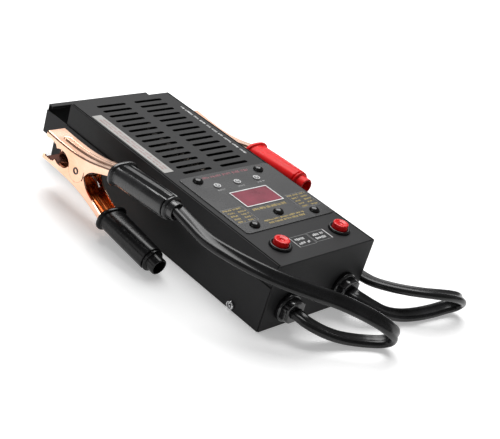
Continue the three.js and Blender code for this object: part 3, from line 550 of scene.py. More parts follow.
BLACK_ROUTE = [
    (-79.3, -61.6, 59.6),
    (-80.6, -75, 58.8),
    (-81.4, -93.3, 57.6),
    (-75.9, -110.4, 55.8),
    (-67.4, -126.8, 53.6),
    (-56, -141.9, 50.8),
    (-37.8, -158, 46.4),
    (-19.3, -170.9, 41.4),
    (-4.9, -182.6, 36.2),
    (6.8, -191.3, 30.6),
    (16.7, -195.8, 24),
    (25.6, -196.3, 16.6),
    (28.7, -193.4, 9.4),
    (25.3, -188.2, 5),
    (16.9, -182.5, 3.8),
    (7, -176.9, 4.2),
    (-3.7, -171.6, 6),
    (-14, -166.7, 9.4),
    (-23.1, -161.7, 13.6),
    (-28.6, -156.4, 16.5),
    (LEFT_BUSH[0], GLAND_FACE_Y - 4, LEFT_BUSH[2]),
    (LEFT_BUSH[0], GLAND_FACE_Y, LEFT_BUSH[2]),
]
RED_ROUTE = [
    (67.2, -58, 10.2),
    (66.4, -74, 10.3),
    (65.2, -92, 11),
    (64.2, -108, 12.6),
    (63.6, -123, 15),
    (61.8, -141.4, 18.3),
    (66.1, -155.7, 21.3),
    (73.7, -167.1, 23.4),
    (83.6, -176, 24.4),
    (94.5, -182.8, 24.4),
    (107, -186.5, 22),
    (118.5, -187.7, 17.6),
    (125.2, -185.9, 12),
    (124.8, -183, 7),
    (116.6, -180.1, 4.6),
    (101.1, -177.9, 3.6),
    (83.7, -175, 3.6),
    (66.9, -171.4, 5.2),
    (52.3, -167.3, 9.2),
    (41.8, -161.8, 14),
    (34.2, -157.2, 18),
    (RIGHT_BUSH[0], GLAND_FACE_Y - 5, RIGHT_BUSH[2]),
    (RIGHT_BUSH[0], GLAND_FACE_Y, RIGHT_BUSH[2]),
]
# Stops of a lead's twist: a fraction of its length and an angle in degrees.
BLACK_TWIST = [(0, 0), (0.05, 0), (0.3, 38), (0.85, 38), (1, 26)]
RED_TWIST = [(0, 0), (0.45, 0), (0.65, 36), (0.85, 36), (1, 22)]


def twin_section(steps=12):
    """Two round conductors side by side, with a groove between them on each face."""
    points = []
    waist = math.radians(126)
    for side in (1, -1):
        for k in range(steps + 1):
            angle = -waist + 2 * waist * k / steps
            x = side * (CONDUCTOR + CONDUCTOR * math.cos(angle))
            points.append((x, side * CONDUCTOR * math.sin(angle)))
    return points


def lead(name, route, twist):
    start, second = (Vector(p) for p in route[:2])
    end, before = Vector(route[-1]), Vector(route[-2])
    points = [
        start + (start - second).normalized() * LEAD_TUCK,
        *[Vector(p) for p in route],
        end + (end - before).normalized() * LEAD_TUCK,
    ]
    centres, length = evenly(centripetal(points), 260)
    tangents, normals = carried(centres, (1, 0, 0))
    stops, angles = zip(*twist)
    across = []
    for fraction, tangent, normal in zip(np.linspace(0, 1, len(centres)), tangents, normals):
        angle = math.radians(np.interp(fraction, stops, angles))
        across.append(np.array(Matrix.Rotation(angle, 3, Vector(tangent)) @ Vector(normal)))
    points, faces = sweep(centres, across, twin_section())
    points[:, 2] = np.maximum(points[:, 2], LOWEST_Z)
    piece = mesh_object(name + "_jacket", (points, faces))
    finished(piece, "tester", CABLE_VINYL, [name], math.radians(75))


lead("black_lead", BLACK_ROUTE, BLACK_TWIST)
lead("red_lead", RED_ROUTE, RED_TWIST)

# ---------------- folded case

SHEET = 0.8
CASE_TOP = box_mm("top_cover")[1][2]
CASE_HALF = box_mm("base_shell")[1][0]
COVER_HALF = CASE_HALF - 1.0
COVER_REAR_Y = box_mm("top_cover")[1][1]
COVER_LOW_Z = 1.3
FRONT_HALF = box_mm("top_cover")[1][0]
BEND = 0.6
# The joint line inside each long edge of the panel, which goes on down each front corner.
SEAM = {"inset": 0.85, "width": 1.3, "depth": 2.0}
CORNER_SEAM = {"inset": 1.35, "width": 0.9, "drop": 26}
LAMP_HOLE, SCREW_HOLE, BUTTON_HOLE, GLAND_HOLE = 2.6, 1.8, 7.7, 8.3  # radii
CUT_LOW, CUT_HIGH = CASE_TOP - 4, CASE_TOP + 6
PANEL_X = 1.3
SLOT = {"rows": 14, "first": 99.3, "last": -10.6, "half_length": 14.7, "half_width": 1.7, "offset": 19.6}
PANEL_SCREWS = [
    f"panel_screw_{place}" for place in ("rear_left", "rear_right", "front_left", "front_right", "middle")
]
LAMPS = [f"status_lamp_{place}" for place in ("left", "middle", "right")]
BUTTONS = ["test", "set"]
SIDE_SCREWS = [f"side_screw_{side}_{end}" for side in ("left", "right") for end in ("front", "rear")]
FASCIA_TOP = box_mm("fascia_plate")[1][2]


def slot_cutters():
    cutters = []
    for side in (-1, 1):
        for row in range(SLOT["rows"]):
            y = SLOT["first"] + (SLOT["last"] - SLOT["first"]) * row / (SLOT["rows"] - 1)
            outline = round_rectangle(
                PANEL_X + side * SLOT["offset"], y, SLOT["half_length"], SLOT["half_width"],
                SLOT["half_width"] - 0.01, 6,
            )
            cutters.append(prism(outline, CUT_LOW, CUT_HIGH))
    return cutters


def seam_blocks(top):
    """A block along each joint line, up to a height."""
    blocks = []
    for side in (-1, 1):
        outer = side * (COVER_HALF - SEAM["inset"])
        inner = outer - side * SEAM["width"]
        blocks.append(block(
            (min(outer, inner), FRONT_Y + 1, CASE_TOP - SEAM["depth"]),
            (max(outer, inner), COVER_REAR_Y - 1, top),
        ))
    return blocks


def corner_blocks(top, out):
    """A block down each front corner of the cover, just behind its front wall, out to a half width."""
    blocks = []
    for side in (-1, 1):
        edge = side * out
        inner = side * (COVER_HALF - CORNER_SEAM["inset"])
        blocks.append(block(
            (min(edge, inner), FRONT_Y + SHEET, CASE_TOP - CORNER_SEAM["drop"]),
            (max(edge, inner), FRONT_Y + SHEET + CORNER_SEAM["width"], top),
        ))
    return blocks


def paint_joint_shade():
    """Near-black blocks in the bottom of the joint lines: painted shade, where the grooves lie in shadow."""
    lines = seam_blocks(CASE_TOP - 0.12)
    corners = corner_blocks(CASE_TOP - 0.3, COVER_HALF - 0.12)
    for name, shapes in (("cover_joint_line_painted_shade", lines), ("cover_corner_joint_painted_shade", corners)):
        finished(mesh_object(name, together(*shapes)), "tester", PAINTED_SHADE)


def hole_over(node, radius):
    x, y, _ = centre_mm(node)
    return prism(disc(x, y, radius), CUT_LOW, CUT_HIGH)


def side_screw_cutters():
    _, front_y, z = centre_mm("side_screw_left_front")
    rear_y = centre_mm("side_screw_left_rear")[1]
    rod = turned(prism(disc(0, 0, SCREW_HOLE, 20), -CASE_HALF - 4, CASE_HALF + 4), "Y", 90)
    return [shifted(rod, 0, y, z) for y in (front_y, rear_y)]


def window_outline(margin, radius):
    x, y, _ = centre_mm("display_window")
    low, high = box_mm("display_window")
    half = (high - low) / 2
    return round_rectangle(x, y, half[0] + margin, half[1] + margin, radius, 4)


def cover():
    """The folded cover: a shell open below, with its slots and holes, and a front wall a little wider."""
    low = (-COVER_HALF, FRONT_Y, COVER_LOW_Z)
    high = (COVER_HALF, COVER_REAR_Y, CASE_TOP)
    obj = mesh_object("case_cover", block(low, high))
    bm = bmesh.new()
    bm.from_mesh(obj.data)
    top = [e for e in bm.edges if all(v.co.z > (CASE_TOP - 0.1) * MM for v in e.verts)]
    floor = [f for f in bm.faces if all(v.co.z < (COVER_LOW_Z + 0.1) * MM for v in f.verts)]
    bmesh.ops.delete(bm, geom=floor, context="FACES")
    bmesh.ops.bevel(bm, geom=top, offset=BEND * MM, segments=5, profile=0.5, affect="EDGES")
    bm.to_mesh(obj.data)
    bm.free()
    shell = obj.modifiers.new("sheet", "SOLIDIFY")
    shell.thickness = SHEET * MM
    shell.offset = -1
    shell.use_even_offset = True
    settle(obj)
    wall = block((-FRONT_HALF, FRONT_Y, 0.4), (FRONT_HALF, FRONT_Y + SHEET - 0.05, CASE_TOP - BEND - 0.3))
    combined(obj, wall, "UNION")
    glands = [
        shifted(turned(prism(disc(0, 0, GLAND_HOLE), -3, 3), "X", 90), centre[0], FRONT_Y, centre[2])
        for centre in (LEFT_BUSH, RIGHT_BUSH)
    ]
    cutters = [
        *slot_cutters(),
        *seam_blocks(CUT_HIGH),
        prism(window_outline(-1, 1), CUT_LOW, CUT_HIGH),
        *[hole_over(lamp, LAMP_HOLE) for lamp in LAMPS],
        *[hole_over(screw, SCREW_HOLE) for screw in PANEL_SCREWS],
        *[hole_over(f"{button}_button_bush", BUTTON_HOLE) for button in BUTTONS],
        *glands,
        *side_screw_cutters(),
    ]
    combined(obj, together(*cutters), "DIFFERENCE")
    combined(obj, together(*corner_blocks(CASE_TOP + 1, COVER_HALF + 2)), "DIFFERENCE")
    soften(obj, 0.16, 2, 40)
    finished(obj, "tester", POWDER, ["top_cover"])


def refined(name, node, edge, material):
    """A CAD node's own shape with its flat faces whole and its edges rounded."""
    obj = bpy.data.objects.new(name, frame["nodes"][node].data.copy())
    bpy.context.scene.collection.objects.link(obj)
    bm = bmesh.new()
    bm.from_mesh(obj.data)
    bmesh.ops.remove_doubles(bm, verts=bm.verts, dist=1e-6)
    bmesh.ops.dissolve_limit(bm, angle_limit=math.radians(1), verts=bm.verts, edges=bm.edges)
    bm.to_mesh(obj.data)
    bm.free()
    soften(obj, edge, 3)
    finished(obj, "tester", material, [node])


cover()
paint_joint_shade()
refined("case_base", "base_shell", 0.3, POWDER)
refined("handle_bar", "carry_handle_bar", 0.35, POWDER)

# ---------------- fascia, window, lamps, label


def fascia():
    low, high = box_mm("fascia_plate")
    x, y = (low[:2] + high[:2]) / 2
    half = (high - low) / 2
    obj = mesh_object("fascia_overlay", prism(round_rectangle(x, y, half[0], half[1], 3), low[2], high[2]))
    cutters = [
        prism(window_outline(0.2, 0.6), CUT_LOW, CUT_HIGH),
        *[hole_over(lamp, LAMP_HOLE) for lamp in LAMPS],
        *[hole_over(screw, SCREW_HOLE) for screw in PANEL_SCREWS],
    ]
    combined(obj, together(*cutters), "DIFFERENCE")
    soften(obj, 0.12, 2)
    finished(obj, "tester", OVERLAY, ["fascia_plate"])


def window():
    low, high = box_mm("display_window")
    pane = mesh_object("window_pane", prism(window_outline(0, 0.5), low[2], high[2]))
    soften(pane, 0.12, 2)
    finished(pane, "tester", WINDOW_RED, ["display_window"])
    low, high = box_mm("window_frame")
    border = (high[0] - box_mm("display_window")[1][0])
    ring = mesh_object("window_border", prism(window_outline(border, 0.8), low[2], high[2]))
    combined(ring, prism(window_outline(0.1, 0.5), CUT_LOW, CUT_HIGH), "DIFFERENCE")
    soften(ring, 0.12, 2)
    finished(ring, "tester", WHITE_PLASTIC, ["window_frame"])


def label():
    low, high = box_mm("warning_label")
    x, y = (low[:2] + high[:2]) / 2
    half = (high - low) / 2
    film = mesh_object("label_strip", prism(round_rectangle(x, y, half[0], half[1], 0.6), low[2], high[2]))
    soften(film, 0.05, 1)
    finished(film, "tester", LABEL_FILM, ["warning_label"])


def status_lamp(node):
    """A white bezel ring with a clouded dome in it."""
    x, y, _ = centre_mm(node)
    base = FASCIA_TOP
    ring = rounded([
        (2.0, base - 6), (2.4, base - 6), (2.4, base + 0.05), (2.95, base + 0.05), (2.95, base + 0.6),
        (2.7, base + 0.9), (2.3, base + 0.85), (2.0, base + 0.4),
    ], 0.2, 2, True)
    bezel = mesh_object(node + "_bezel", shifted(lathe(ring, 36, True), x, y))
    finished(bezel, "tester", WHITE_PLASTIC, [node])
    dome = [(0, base - 5), (1.95, base - 5), (1.95, base + 0.4)]
    dome += [(1.95 * math.cos(a), base + 0.4 + 1.0 * math.sin(a)) for a in np.linspace(0.2, 1.45, 7)]
    dome.append((0, base + 1.4))
    lens = mesh_object(node + "_lens", shifted(lathe(dome, 32), x, y))
    finished(lens, "tester", LENS)


def panel_screw(node):
    x, y, _ = centre_mm(node)
    head = 4.2
    rise = 2.75
    under = FASCIA_TOP + 0.04
    profile = [(0, FASCIA_TOP - 10), (1.5, FASCIA_TOP - 10), (1.5, under), (head - 0.1, under)]
    profile += [
        (head * math.cos(a) ** 0.8, FASCIA_TOP + 0.2 + (rise - 0.2) * math.sin(a) ** 1.1)
        for a in np.linspace(0.03, 1.5, 12)
    ]
    profile.append((0, FASCIA_TOP + rise))
    screw = mesh_object(node + "_dome", shifted(lathe(profile, 44), x, y))
    finished(screw, "tester", GLOSS_BLACK, [node])


def side_screw(node):
    """A pan head with a cross recess, its axis along X."""
    x, y, z = centre_mm(node)
    side = 1 if x > 0 else -1
    profile = rounded([
        (0, -5.8), (1.5, -5.8), (1.5, 0.12), (3.5, 0.12), (3.45, 1.2), (2.85, 2.0), (2.4, 1.8),
        (2.2, 0.5), (0, 0.5),
    ], 0.3)
    screw = mesh_object(node + "_pan", lathe(profile, 40))
    arms = [turned(block((-1.8, -0.5, -1.2), (1.8, 0.5, 3)), "Z", angle) for angle in (20, 110)]
    for arm in arms:
        combined(screw, arm, "DIFFERENCE")
    soften(screw, 0.07, 1, 45)
    place = Matrix.Translation((side * CASE_HALF * MM, y * MM, z * MM))
    screw.data.transform(place @ Matrix.Rotation(side * math.pi / 2, 4, "Y"))
    finished(screw, "tester", ZINC, [node])


fascia()
window()
label()
for lamp_node in LAMPS:
    status_lamp(lamp_node)
for screw_node in PANEL_SCREWS:
    panel_screw(screw_node)
for screw_node in SIDE_SCREWS:
    side_screw(screw_node)

# ---------------- prints
# The panel's markings are plain bars and dashes, printed a few hundredths of a millimetre proud.

INK_HEIGHT = 0.03
draw = random.Random(11)


def bar(x0, y0, x1, y1, z):
    return block((min(x0, x1), min(y0, y1), z), (max(x0, x1), max(y0, y1), z + INK_HEIGHT))


def dash_row(x0, x1, y, height, z, gap=0.45):
    """Upright bars of uneven widths from x0 to x1, centred on y, in groups with wider gaps between them."""
    bars, x, left = [], x0, draw.randint(4, 8)
    while x < x1 - 0.4:
        width = min(draw.choice((0.4, 0.6, 0.8, 1.1)), x1 - x)
        tall = height * draw.choice((0.7, 0.85, 1.0))
        shift = draw.choice((-0.5, 0.0, 0.5)) * (height - tall)
        bars.append(bar(x, y - tall / 2 + shift, x + width, y + tall / 2 + shift, z))
        left -= 1
        x += width + gap
        if left == 0:
            x += 2.5 * gap
            left = draw.randint(4, 8)
    return bars


def dash_column(y0, y1, x, width, z, gap=0.4):
    """The same row turned to run along Y."""
    row = together(*dash_row(y0, y1, 0, width, 0, gap))
    points = row[0]
    turned_points = np.stack([x + points[:, 1], points[:, 0], z + points[:, 2]], axis=1)
    return turned_points, row[1]


def outline_box(x0, y0, x1, y1, z, line):
    return [
        bar(x0, y0, x1, y0 + line, z),
        bar(x0, y1 - line, x1, y1, z),
        bar(x0, y0 + line, x0 + line, y1 - line, z),
        bar(x1 - line, y0 + line, x1, y1 - line, z),
    ]


def table_print(x0, x1, y0, y1, z, rows):
    """Two columns of dash rows under a heading row."""
    step = (y1 - y0) / rows
    middle = (x0 + x1) / 2
    bars = dash_row(x0 + 1, x1 - 1, y1 - step / 2, step * 0.5, z)
    for row in range(1, rows):
        y = y1 - step * (row + 0.5)
        bars += dash_row(x0 + 2.5, middle - 1.2, y, step * 0.5, z)
        bars += dash_row(middle + 2, x1 - 1.5, y, step * 0.5, z)
    return bars


def printed(name, bars, material):
    finished(mesh_object(name, together(*bars)), "tester", material)


FASCIA_INK_Z = FASCIA_TOP + 0.005
COVER_INK_Z = CASE_TOP + 0.005
LEFT_TABLE = (-43.6, -21.4, -83.8, -64.6)
RIGHT_TABLE = (25.8, 47.3, -83.2, -64)

yellow = table_print(*LEFT_TABLE, FASCIA_INK_Z, 5) + table_print(*RIGHT_TABLE, FASCIA_INK_Z, 5)
yellow += dash_row(-16.5, 18.5, -72.2, 2.9, FASCIA_INK_Z, 0.4)
yellow += dash_row(-19, 24, -87.2, 2, FASCIA_INK_Z, 0.4)
yellow += dash_row(-17, 22, -90.4, 2, FASCIA_INK_Z, 0.4)
printed("fascia_yellow_print", yellow, YELLOW_INK)
grey = outline_box(*[LEFT_TABLE[i] for i in (0, 2, 1, 3)], FASCIA_INK_Z, 0.25)
grey += outline_box(*[RIGHT_TABLE[i] for i in (0, 2, 1, 3)], FASCIA_INK_Z, 0.25)
for lamp_node in LAMPS:
    lamp_x, lamp_y, _ = centre_mm(lamp_node)
    grey += dash_row(lamp_x - 4, lamp_x + 4, lamp_y - 5.6, 1.7, FASCIA_INK_Z)
printed("fascia_grey_print", grey, GREY_INK)
printed("fascia_red_print", dash_row(-24, 26, -22.6, 2.8, FASCIA_INK_Z, 0.7), RED_INK)

white = [dash_column(0, 84, 44.6, 2.1, COVER_INK_Z, 0.6)]
frames = []
for x0, x1, y0, y1, mark_x in ((-17.3, 0.9, -123.4, -110.9, -17.3), (1.7, 19.9, -122.6, -110.6, 19.0)):
    frames += outline_box(x0, y0, x1, y1, COVER_INK_Z, 0.25)
    white.append(bar(mark_x, y0, mark_x + 0.7, y1, COVER_INK_Z))
    white += dash_row(x0 + 3.5, x1 - 3.5, y1 - 3.9, 2.6, COVER_INK_Z, 0.7)
    white += dash_row(x0 + 3, x1 - 3, y0 + 3.7, 2.6, COVER_INK_Z, 0.7)
printed("cover_white_print", white, WHITE_INK)
printed("cover_grey_print", frames, GREY_INK)

label_low, label_high = box_mm("warning_label")
label_z = label_high[2] + 0.005
rows = [
    dash_column(label_low[1] + 5, label_high[1] - 6, x, 1.7, label_z, 0.5)
    for x in np.linspace(label_low[0], label_high[0], 4)[1:3]
]
printed("label_red_print", rows, LABEL_INK)

# ---------------- push-buttons


def push_button(name):
    x, y, _ = centre_mm(f"{name}_button_bush")
    top = CASE_TOP
    bore = 6.25
    ring = rounded([
        (bore, 43), (7.1, 43), (7.1, top + 0.05), (8.75, top + 0.05), (8.75, top + 1.2), (7.9, top + 2.05),
        (7.0, top + 2.05), (bore, top + 1.5),
    ], 0.4, 3, True)
    bush = mesh_object(f"{name}_button_ring", shifted(lathe(ring, 56, True), x, y))
    finished(bush, "tester", GLOSS_BLACK, [f"{name}_button_bush"])
    cap_top = box_mm(f"{name}_button_cap")[1][2]
    radius = 5.9
    profile = rounded([
        (0, 38), (2, 38), (2, 56.6), (4.7, 56.6), (4.7, 54), (radius, 54), (radius, cap_top - 0.1),
        (4.4, cap_top), (3.3, cap_top - 0.45), (2.1, cap_top - 0.65), (1.5, cap_top - 1.5),
        (0, cap_top - 1.6),
    ], 0.8, 4)
    cap = mesh_object(f"{name}_button_dome", shifted(lathe(profile, 48), x, y))
    finished(cap, f"{name}_button", RED_CAP, [f"{name}_button_cap"])


for button_name in BUTTONS:
    push_button(button_name)

# ---------------- strain-relief bushes


def strain_relief(side, centre):
    """A round flange, a ribbed body with flats, and a U-shaped key on each flank. Z runs outwards."""
    flange = [(0, -6), (7.6, -6), (7.9, 0.1), (11.6, 0.1), (11.6, 3.2), (10.6, 4.2), (0, 4.2)]
    body_rings = []
    for z, half in ((3.6, 9.1), (4.6, 9.2), (8.2, 8.9), (9.4, 8.4), (GLAND_REACH, 7.4)):
        ring = []
        for i in range(48):
            angle = 2 * math.pi * i / 48
            c, s = math.cos(angle), math.sin(angle)
            reach = half * (abs(c) ** 4 + abs(s) ** 4) ** -0.25
            reach = min(reach, half * 1.09)
            ring.append((reach * c, reach * s, z))
        body_rings.append(ring)
    body = loft(body_rings)
    keys = []
    for flank in (-1, 1):
        outer = round_rectangle(flank * 8.3, 0, 2.1, 5.2, 2.0, 5)
        keys.append(prism(outer, 4.0, 8.6))
    obj = mesh_object(f"lead_grommet_{side}", lathe(rounded(flange, 0.7), 56))
    combined(obj, body, "UNION")
    for key in keys:
        combined(obj, key, "UNION")
    slot = prism(round_rectangle(0, 0, LEAD_WIDTH / 2 + 0.5, CONDUCTOR + 0.5, CONDUCTOR + 0.4, 8), 5, 12)
    combined(obj, slot, "DIFFERENCE")
    soften(obj, 0.3, 2, 32)
    place = Matrix.Translation((centre[0] * MM, FRONT_Y * MM, centre[2] * MM))
    obj.data.transform(place @ Matrix.Rotation(math.pi / 2, 4, "X"))
    finished(obj, "tester", NYLON, [f"lead_bush_{side}"])


strain_relief("left", LEFT_BUSH)
strain_relief("right", RIGHT_BUSH)

# ---------------- battery clamps
# Each half in its own frame: the pivot is the origin, +Y points to the jaw tips and +Z is outwards.

CLAMP_HALF = 8.9
CLAMP_SHEET = 1.2
FOLD = 1.7
EAR = 8.8
JAW_TIP = 41.5
TONGUE_HALF = 7.2
HANDLE_SLOPE = 0.0815
COLLAR_Y = -39.2


def handle_centre(y):
    return 19.6 - HANDLE_SLOPE * (y + 41)


OUTER_LINE = [
    (-90, handle_centre(-90) + 3), (-60, handle_centre(-60) + 3), (-46, handle_centre(-46) + 3),
    (-38.5, 22.8), (-30, 20.5), (-23, 18.4), (-17, 16.7), (-10, 15.1), (-2, 13.7), (8, 12.6), (17, 12.2),
    (30, 12), (JAW_TIP, 12.2),
]
HANDLE_LINE = [
    (-90, handle_centre(-90) - 3), (-60, handle_centre(-60) - 3), (-46, handle_centre(-46) - 3),
    (-38.5, 17), (-30, 14.2), (-23, 11.4), (-17, 8.4), (-13.5, 5.4), (-11, 2), (-9.5, -1),
]
THROAT_LINE = [(6, -4), (8.8, 0.7), (11, 3.5), (14.5, 5.9), (19, 6.8), (23.5, 6.2), (26.6, 4.9)]
MOUTH_LINE = [(26.6, 4.9), (28.4, 7.4), (32, 8.2), (37.5, 8.2), (40.2, 7.4), (JAW_TIP, 8.6)]
TEETH = {"first": 29.0, "pitch": 2.2, "depth": 0.9}
RIB = {"half": 1.8, "rise": 0.9, "nose": 26.5, "groove": 0.7}


def tooth(y):
    if y < TEETH["first"]:
        return 0.0
    phase = (y - TEETH["first"]) / TEETH["pitch"]
    return TEETH["depth"] * (abs(2 * (phase % 1) - 1) - 0.5)


def inner_edge(y, nested):
    """How far in the side plate reaches at a station along the clamp."""
    if y < -9.5:
        z = spline(HANDLE_LINE, y)
    elif y < 6:
        z = -4.0
    elif y < 26.6:
        z = spline(THROAT_LINE, y)
    else:
        z = float(np.interp(y, *zip(*MOUTH_LINE))) + tooth(y)
    if nested:
        around = EAR + 0.15
        return max(z, math.sqrt(around**2 - y * y)) if abs(y) < around else max(z, -around)
    return min(z, -math.sqrt(max(EAR**2 - y * y, 0.0))) if abs(y) < EAR else z


def rib_rise(x, y):
    """The long rib pressed outwards in the web, with a round nose towards the jaw."""
    away = abs(x) if y < RIB["nose"] else math.hypot(x, y - RIB["nose"])
    edge = float(np.clip((RIB["half"] + 0.3 - away) / 0.6, 0, 1))
    rise = RIB["rise"] * edge * edge * (3 - 2 * edge)
    return rise - RIB["groove"] * math.exp(-((away - RIB["half"] - 0.7) / 0.5) ** 2)


def half_width(y):
    return float(np.interp(y, [-90, -44, -39.5, -36], [TONGUE_HALF, TONGUE_HALF, 8.2, CLAMP_HALF]))


def clamp_stations(end_y):
    stations = list(np.arange(end_y, JAW_TIP, 1.1)) + [JAW_TIP, 26.6, 28.4, 8.8, -8.8, 9.4, -9.4]
    for k in range(1, 24):
        stations.append(EAR * math.cos(math.pi * k / 24))
    stations += list(np.arange(TEETH["first"], JAW_TIP, TEETH["pitch"] / 2))
    stations += [RIB["nose"] + 0.4 * k for k in range(-2, 9)]
    kept = []
    for y in sorted(stations):
        if not kept or y - kept[-1] > 0.12:
            kept.append(y)
    return kept


def clamp_section(y, nested):
    """Half of the section at a station, from the web's middle out over the fold and down the plate."""
    half = half_width(y)
    top = spline(OUTER_LINE, y)
    low = min(inner_edge(y, nested), top - FOLD - 0.3)
    points = []
    for x in (0, 0.8, 1.3, 1.6, 1.8, 2.0, 2.2, 2.45, 2.7, 3.0, 3.4, 4.4, 5.6):
        points.append((x, top + rib_rise(x, y)))
    for k in range(7):
        angle = math.pi / 2 * k / 6
        points.append((half - FOLD + FOLD * math.sin(angle), top - FOLD + FOLD * math.cos(angle)))
    for share in (0.1, 0.25, 0.45, 0.65, 0.82, 1.0):
        points.append((half, top - FOLD + (low - top + FOLD) * share))
    return points


def clamp_skin(end_y, nested):
    rows = []
    for y in clamp_stations(end_y):
        half = clamp_section(y, nested)
        rows.append([(-x, y, z) for x, z in half[:0:-1]] + [(x, y, z) for x, z in half])
    width = len(rows[0])
    faces = []
    for r in range(len(rows) - 1):
        for i in range(width - 1):
            a, b = r * width + i, (r + 1) * width + i
            faces.append([a, a + 1, b + 1, b])
    return np.vstack(rows), faces


def clamp_half(name, end_y, nested):
    obj = mesh_object(name, clamp_skin(end_y, nested))
    middle = max(obj.data.polygons, key=lambda f: f.center.z if abs(f.center.x) < MM else -1)
    if middle.normal.z < 0:
        obj.data.flip_normals()
    sheet = obj.modifiers.new("sheet", "SOLIDIFY")
    sheet.thickness = CLAMP_SHEET * MM
    sheet.offset = -1
    # The inner faces take the darker copper, a painted shade.
    sheet.material_offset = 1
    obj.data.materials.append(COPPER)
    obj.data.materials.append(COPPER_PAINTED_SHADE)
    settle(obj)
    soften(obj, 0.22, 2, 50)
    if nested:
        angles = np.linspace(math.pi + 0.2, 2 * math.pi - 0.2, 24)
        arc = [(EAR * math.cos(a), EAR * math.sin(a)) for a in angles]
        outline = [(9, 11.4), (-9, 13.6), (-9, 2), *arc, (9, 2)]
        depth = CLAMP_HALF - CLAMP_SHEET - 0.3
        ears = []
        for x0 in (-depth, depth - CLAMP_SHEET):
            ear = prism(outline, x0, x0 + CLAMP_SHEET)
            points = ear[0]
            ears.append((np.stack([points[:, 2], points[:, 0], points[:, 1]], axis=1), ear[1]))
        plates = soften(mesh_object("ears", together(*ears)), 0.2, 2)
        plates.data.materials.append(COPPER)
        with bpy.context.temp_override(active_object=obj, selected_editable_objects=[obj, plates]):
            bpy.ops.object.join()
    return obj


def sleeve_rings(stations, count=72):
    """Rings of a sleeve: each station is y, half x, half z, squareness and the depth of its two grooves.

    The grooves run along the top, one on each side of the handle's rib.
    """
    rings = []
    for y, half_x, half_z, power, groove in stations:
        ring = []
        for i in range(count):
            angle = 2 * math.pi * i / count
            c, s = math.cos(angle), math.sin(angle)
            reach = (abs(c) ** power + abs(s) ** power) ** (-1 / power)
            x, z = half_x * c * reach, half_z * s * reach
            if s > 0:
                z -= groove * math.exp(-(((abs(x) - 4.0) / 1.5) ** 4))
            ring.append((x, y, z))
        rings.append(ring)
    return rings


def sleeve(name, shoulder, end, lead_inside, groove):
    """A hollow vinyl sleeve from its oval collar at y = 0 to its nub, its wall turned in at both ends."""
    stations = [(0.0, 8.6, 6.2, 2.6, 0), (0.0, 12.6, 8.7, 2.6, 0)]
    for y, swell in ((-0.25, 0.75), (-0.8, 1.0), (-1.8, 1.0), (-2.35, 0.75)):
        stations.append((y, 12.6 + 0.8 * swell, 8.7 + 0.8 * swell, 2.6, 0))
    stations += [
        (-2.6, 12.4, 8.6, 2.6, 0),
        (-3.0, 11.0, 7.9, 2.6, groove * 0.4),
        (-4.2, 10.7, 7.8, 2.6, groove),
    ]
    body_end = shoulder + 3.4
    seams = [body_end * share for share in (0.2, 0.34, 0.48, 0.62)]
    marks = list(np.linspace(-6, body_end, 22)) + [s + d for s in seams for d in (-0.35, 0, 0.35)]
    marks.sort(reverse=True)
    for y in marks:
        t = (y + 4.2) / (body_end + 4.2)
        dip = 0.09 if any(abs(y - s) < 0.01 for s in seams) else 0.0
        half_x = 10.7 + (9.4 - 10.7) * t - dip
        half_z = 7.8 + (9.3 - 7.8) * t**0.8 - dip
        stations.append((y, half_x, half_z, 2.6 - 0.5 * t, groove * (1 - 0.2 * t)))
    stations += [
        (body_end - 0.5, 9.0, 9.0, 2.05, groove * 0.6),
        (body_end - 0.7, 8.0, 8.0, 2.0, 0),
        (body_end - 1.6, 7.9, 7.9, 2.0, 0),
        (body_end - 1.8, 8.8, 8.8, 2.0, 0),
        (body_end - 2.2, 9.1, 9.1, 2.0, 0),
        (shoulder + 0.4, 9.0, 9.0, 2.0, 0),
        (shoulder, 8.5, 8.5, 2.0, 0),
        (shoulder - 0.3, 7.0, 7.0, 2.0, 0),
        (shoulder - 0.9, 6.7, 6.7, 2.0, 0),
        (end + 0.9, 6.7, 6.7, 2.0, 0),
        (end + 0.3, 6.55, 6.55, 2.0, 0),
        (end, 6.1, 6.1, 2.0, 0),
    ]
    if lead_inside:
        hole = (LEAD_WIDTH / 2 + 0.1, CONDUCTOR + 0.1)
        stations.append((end + 0.3, hole[0], hole[1] + 0.2, 3, 0))
        stations += [(end + 0.8, *hole, 3, 0), (end + 5, *hole, 3, 0)]
    else:
        mouth = ((end, 5.6), (end + 0.5, 5.3), (shoulder + 1.0, 5.2))
        stations += [(y, radius, radius, 2.0, 0) for y, radius in mouth]
    stations += [(shoulder + 2.5, 7.6, 6.4, 2.4, 0), (-4.2, 8.6, 6.2, 2.6, groove * 0.8)]
    return mesh_object(name, loft(sleeve_rings(stations), "loop"))


def rivet(name):
    """A tubular rivet with a rolled ring head on each side, along X."""
    head = CLAMP_HALF + 0.02
    side = [(2.75, 0), (2.85, 0.35), (2.45, 0.65), (1.95, 0.6), (1.6, 0.2), (1.5, -1.2)]
    profile = [(0, -head + 1.2)] + [(r, -head - z) for r, z in side[::-1]]
    profile += [(2.2, -head), (2.2, head)] + [(r, head + z) for r, z in side] + [(0, head - 1.2)]
    return mesh_object(name, turned(lathe(profile, 36), "Y", 90))


def torsion_spring(name):
    radius, thickness, turns, span, start = 5.4, 0.9, 4.5, 9.4, 0.62 * math.pi
    end = span / 2
    steps = 20
    points = [(-end, -22, 13.5), (-end, -13, 9.8)]
    for i in range(int(turns * steps) + 1):
        angle = start + 2 * math.pi * i / steps
        points.append((-end + span * i / (turns * steps), radius * math.cos(angle), radius * math.sin(angle)))
    points += [(end, -10, -5.2), (end, -15.5, -8)]
    return mesh_object(name, wire(centripetal(points, 3), thickness))


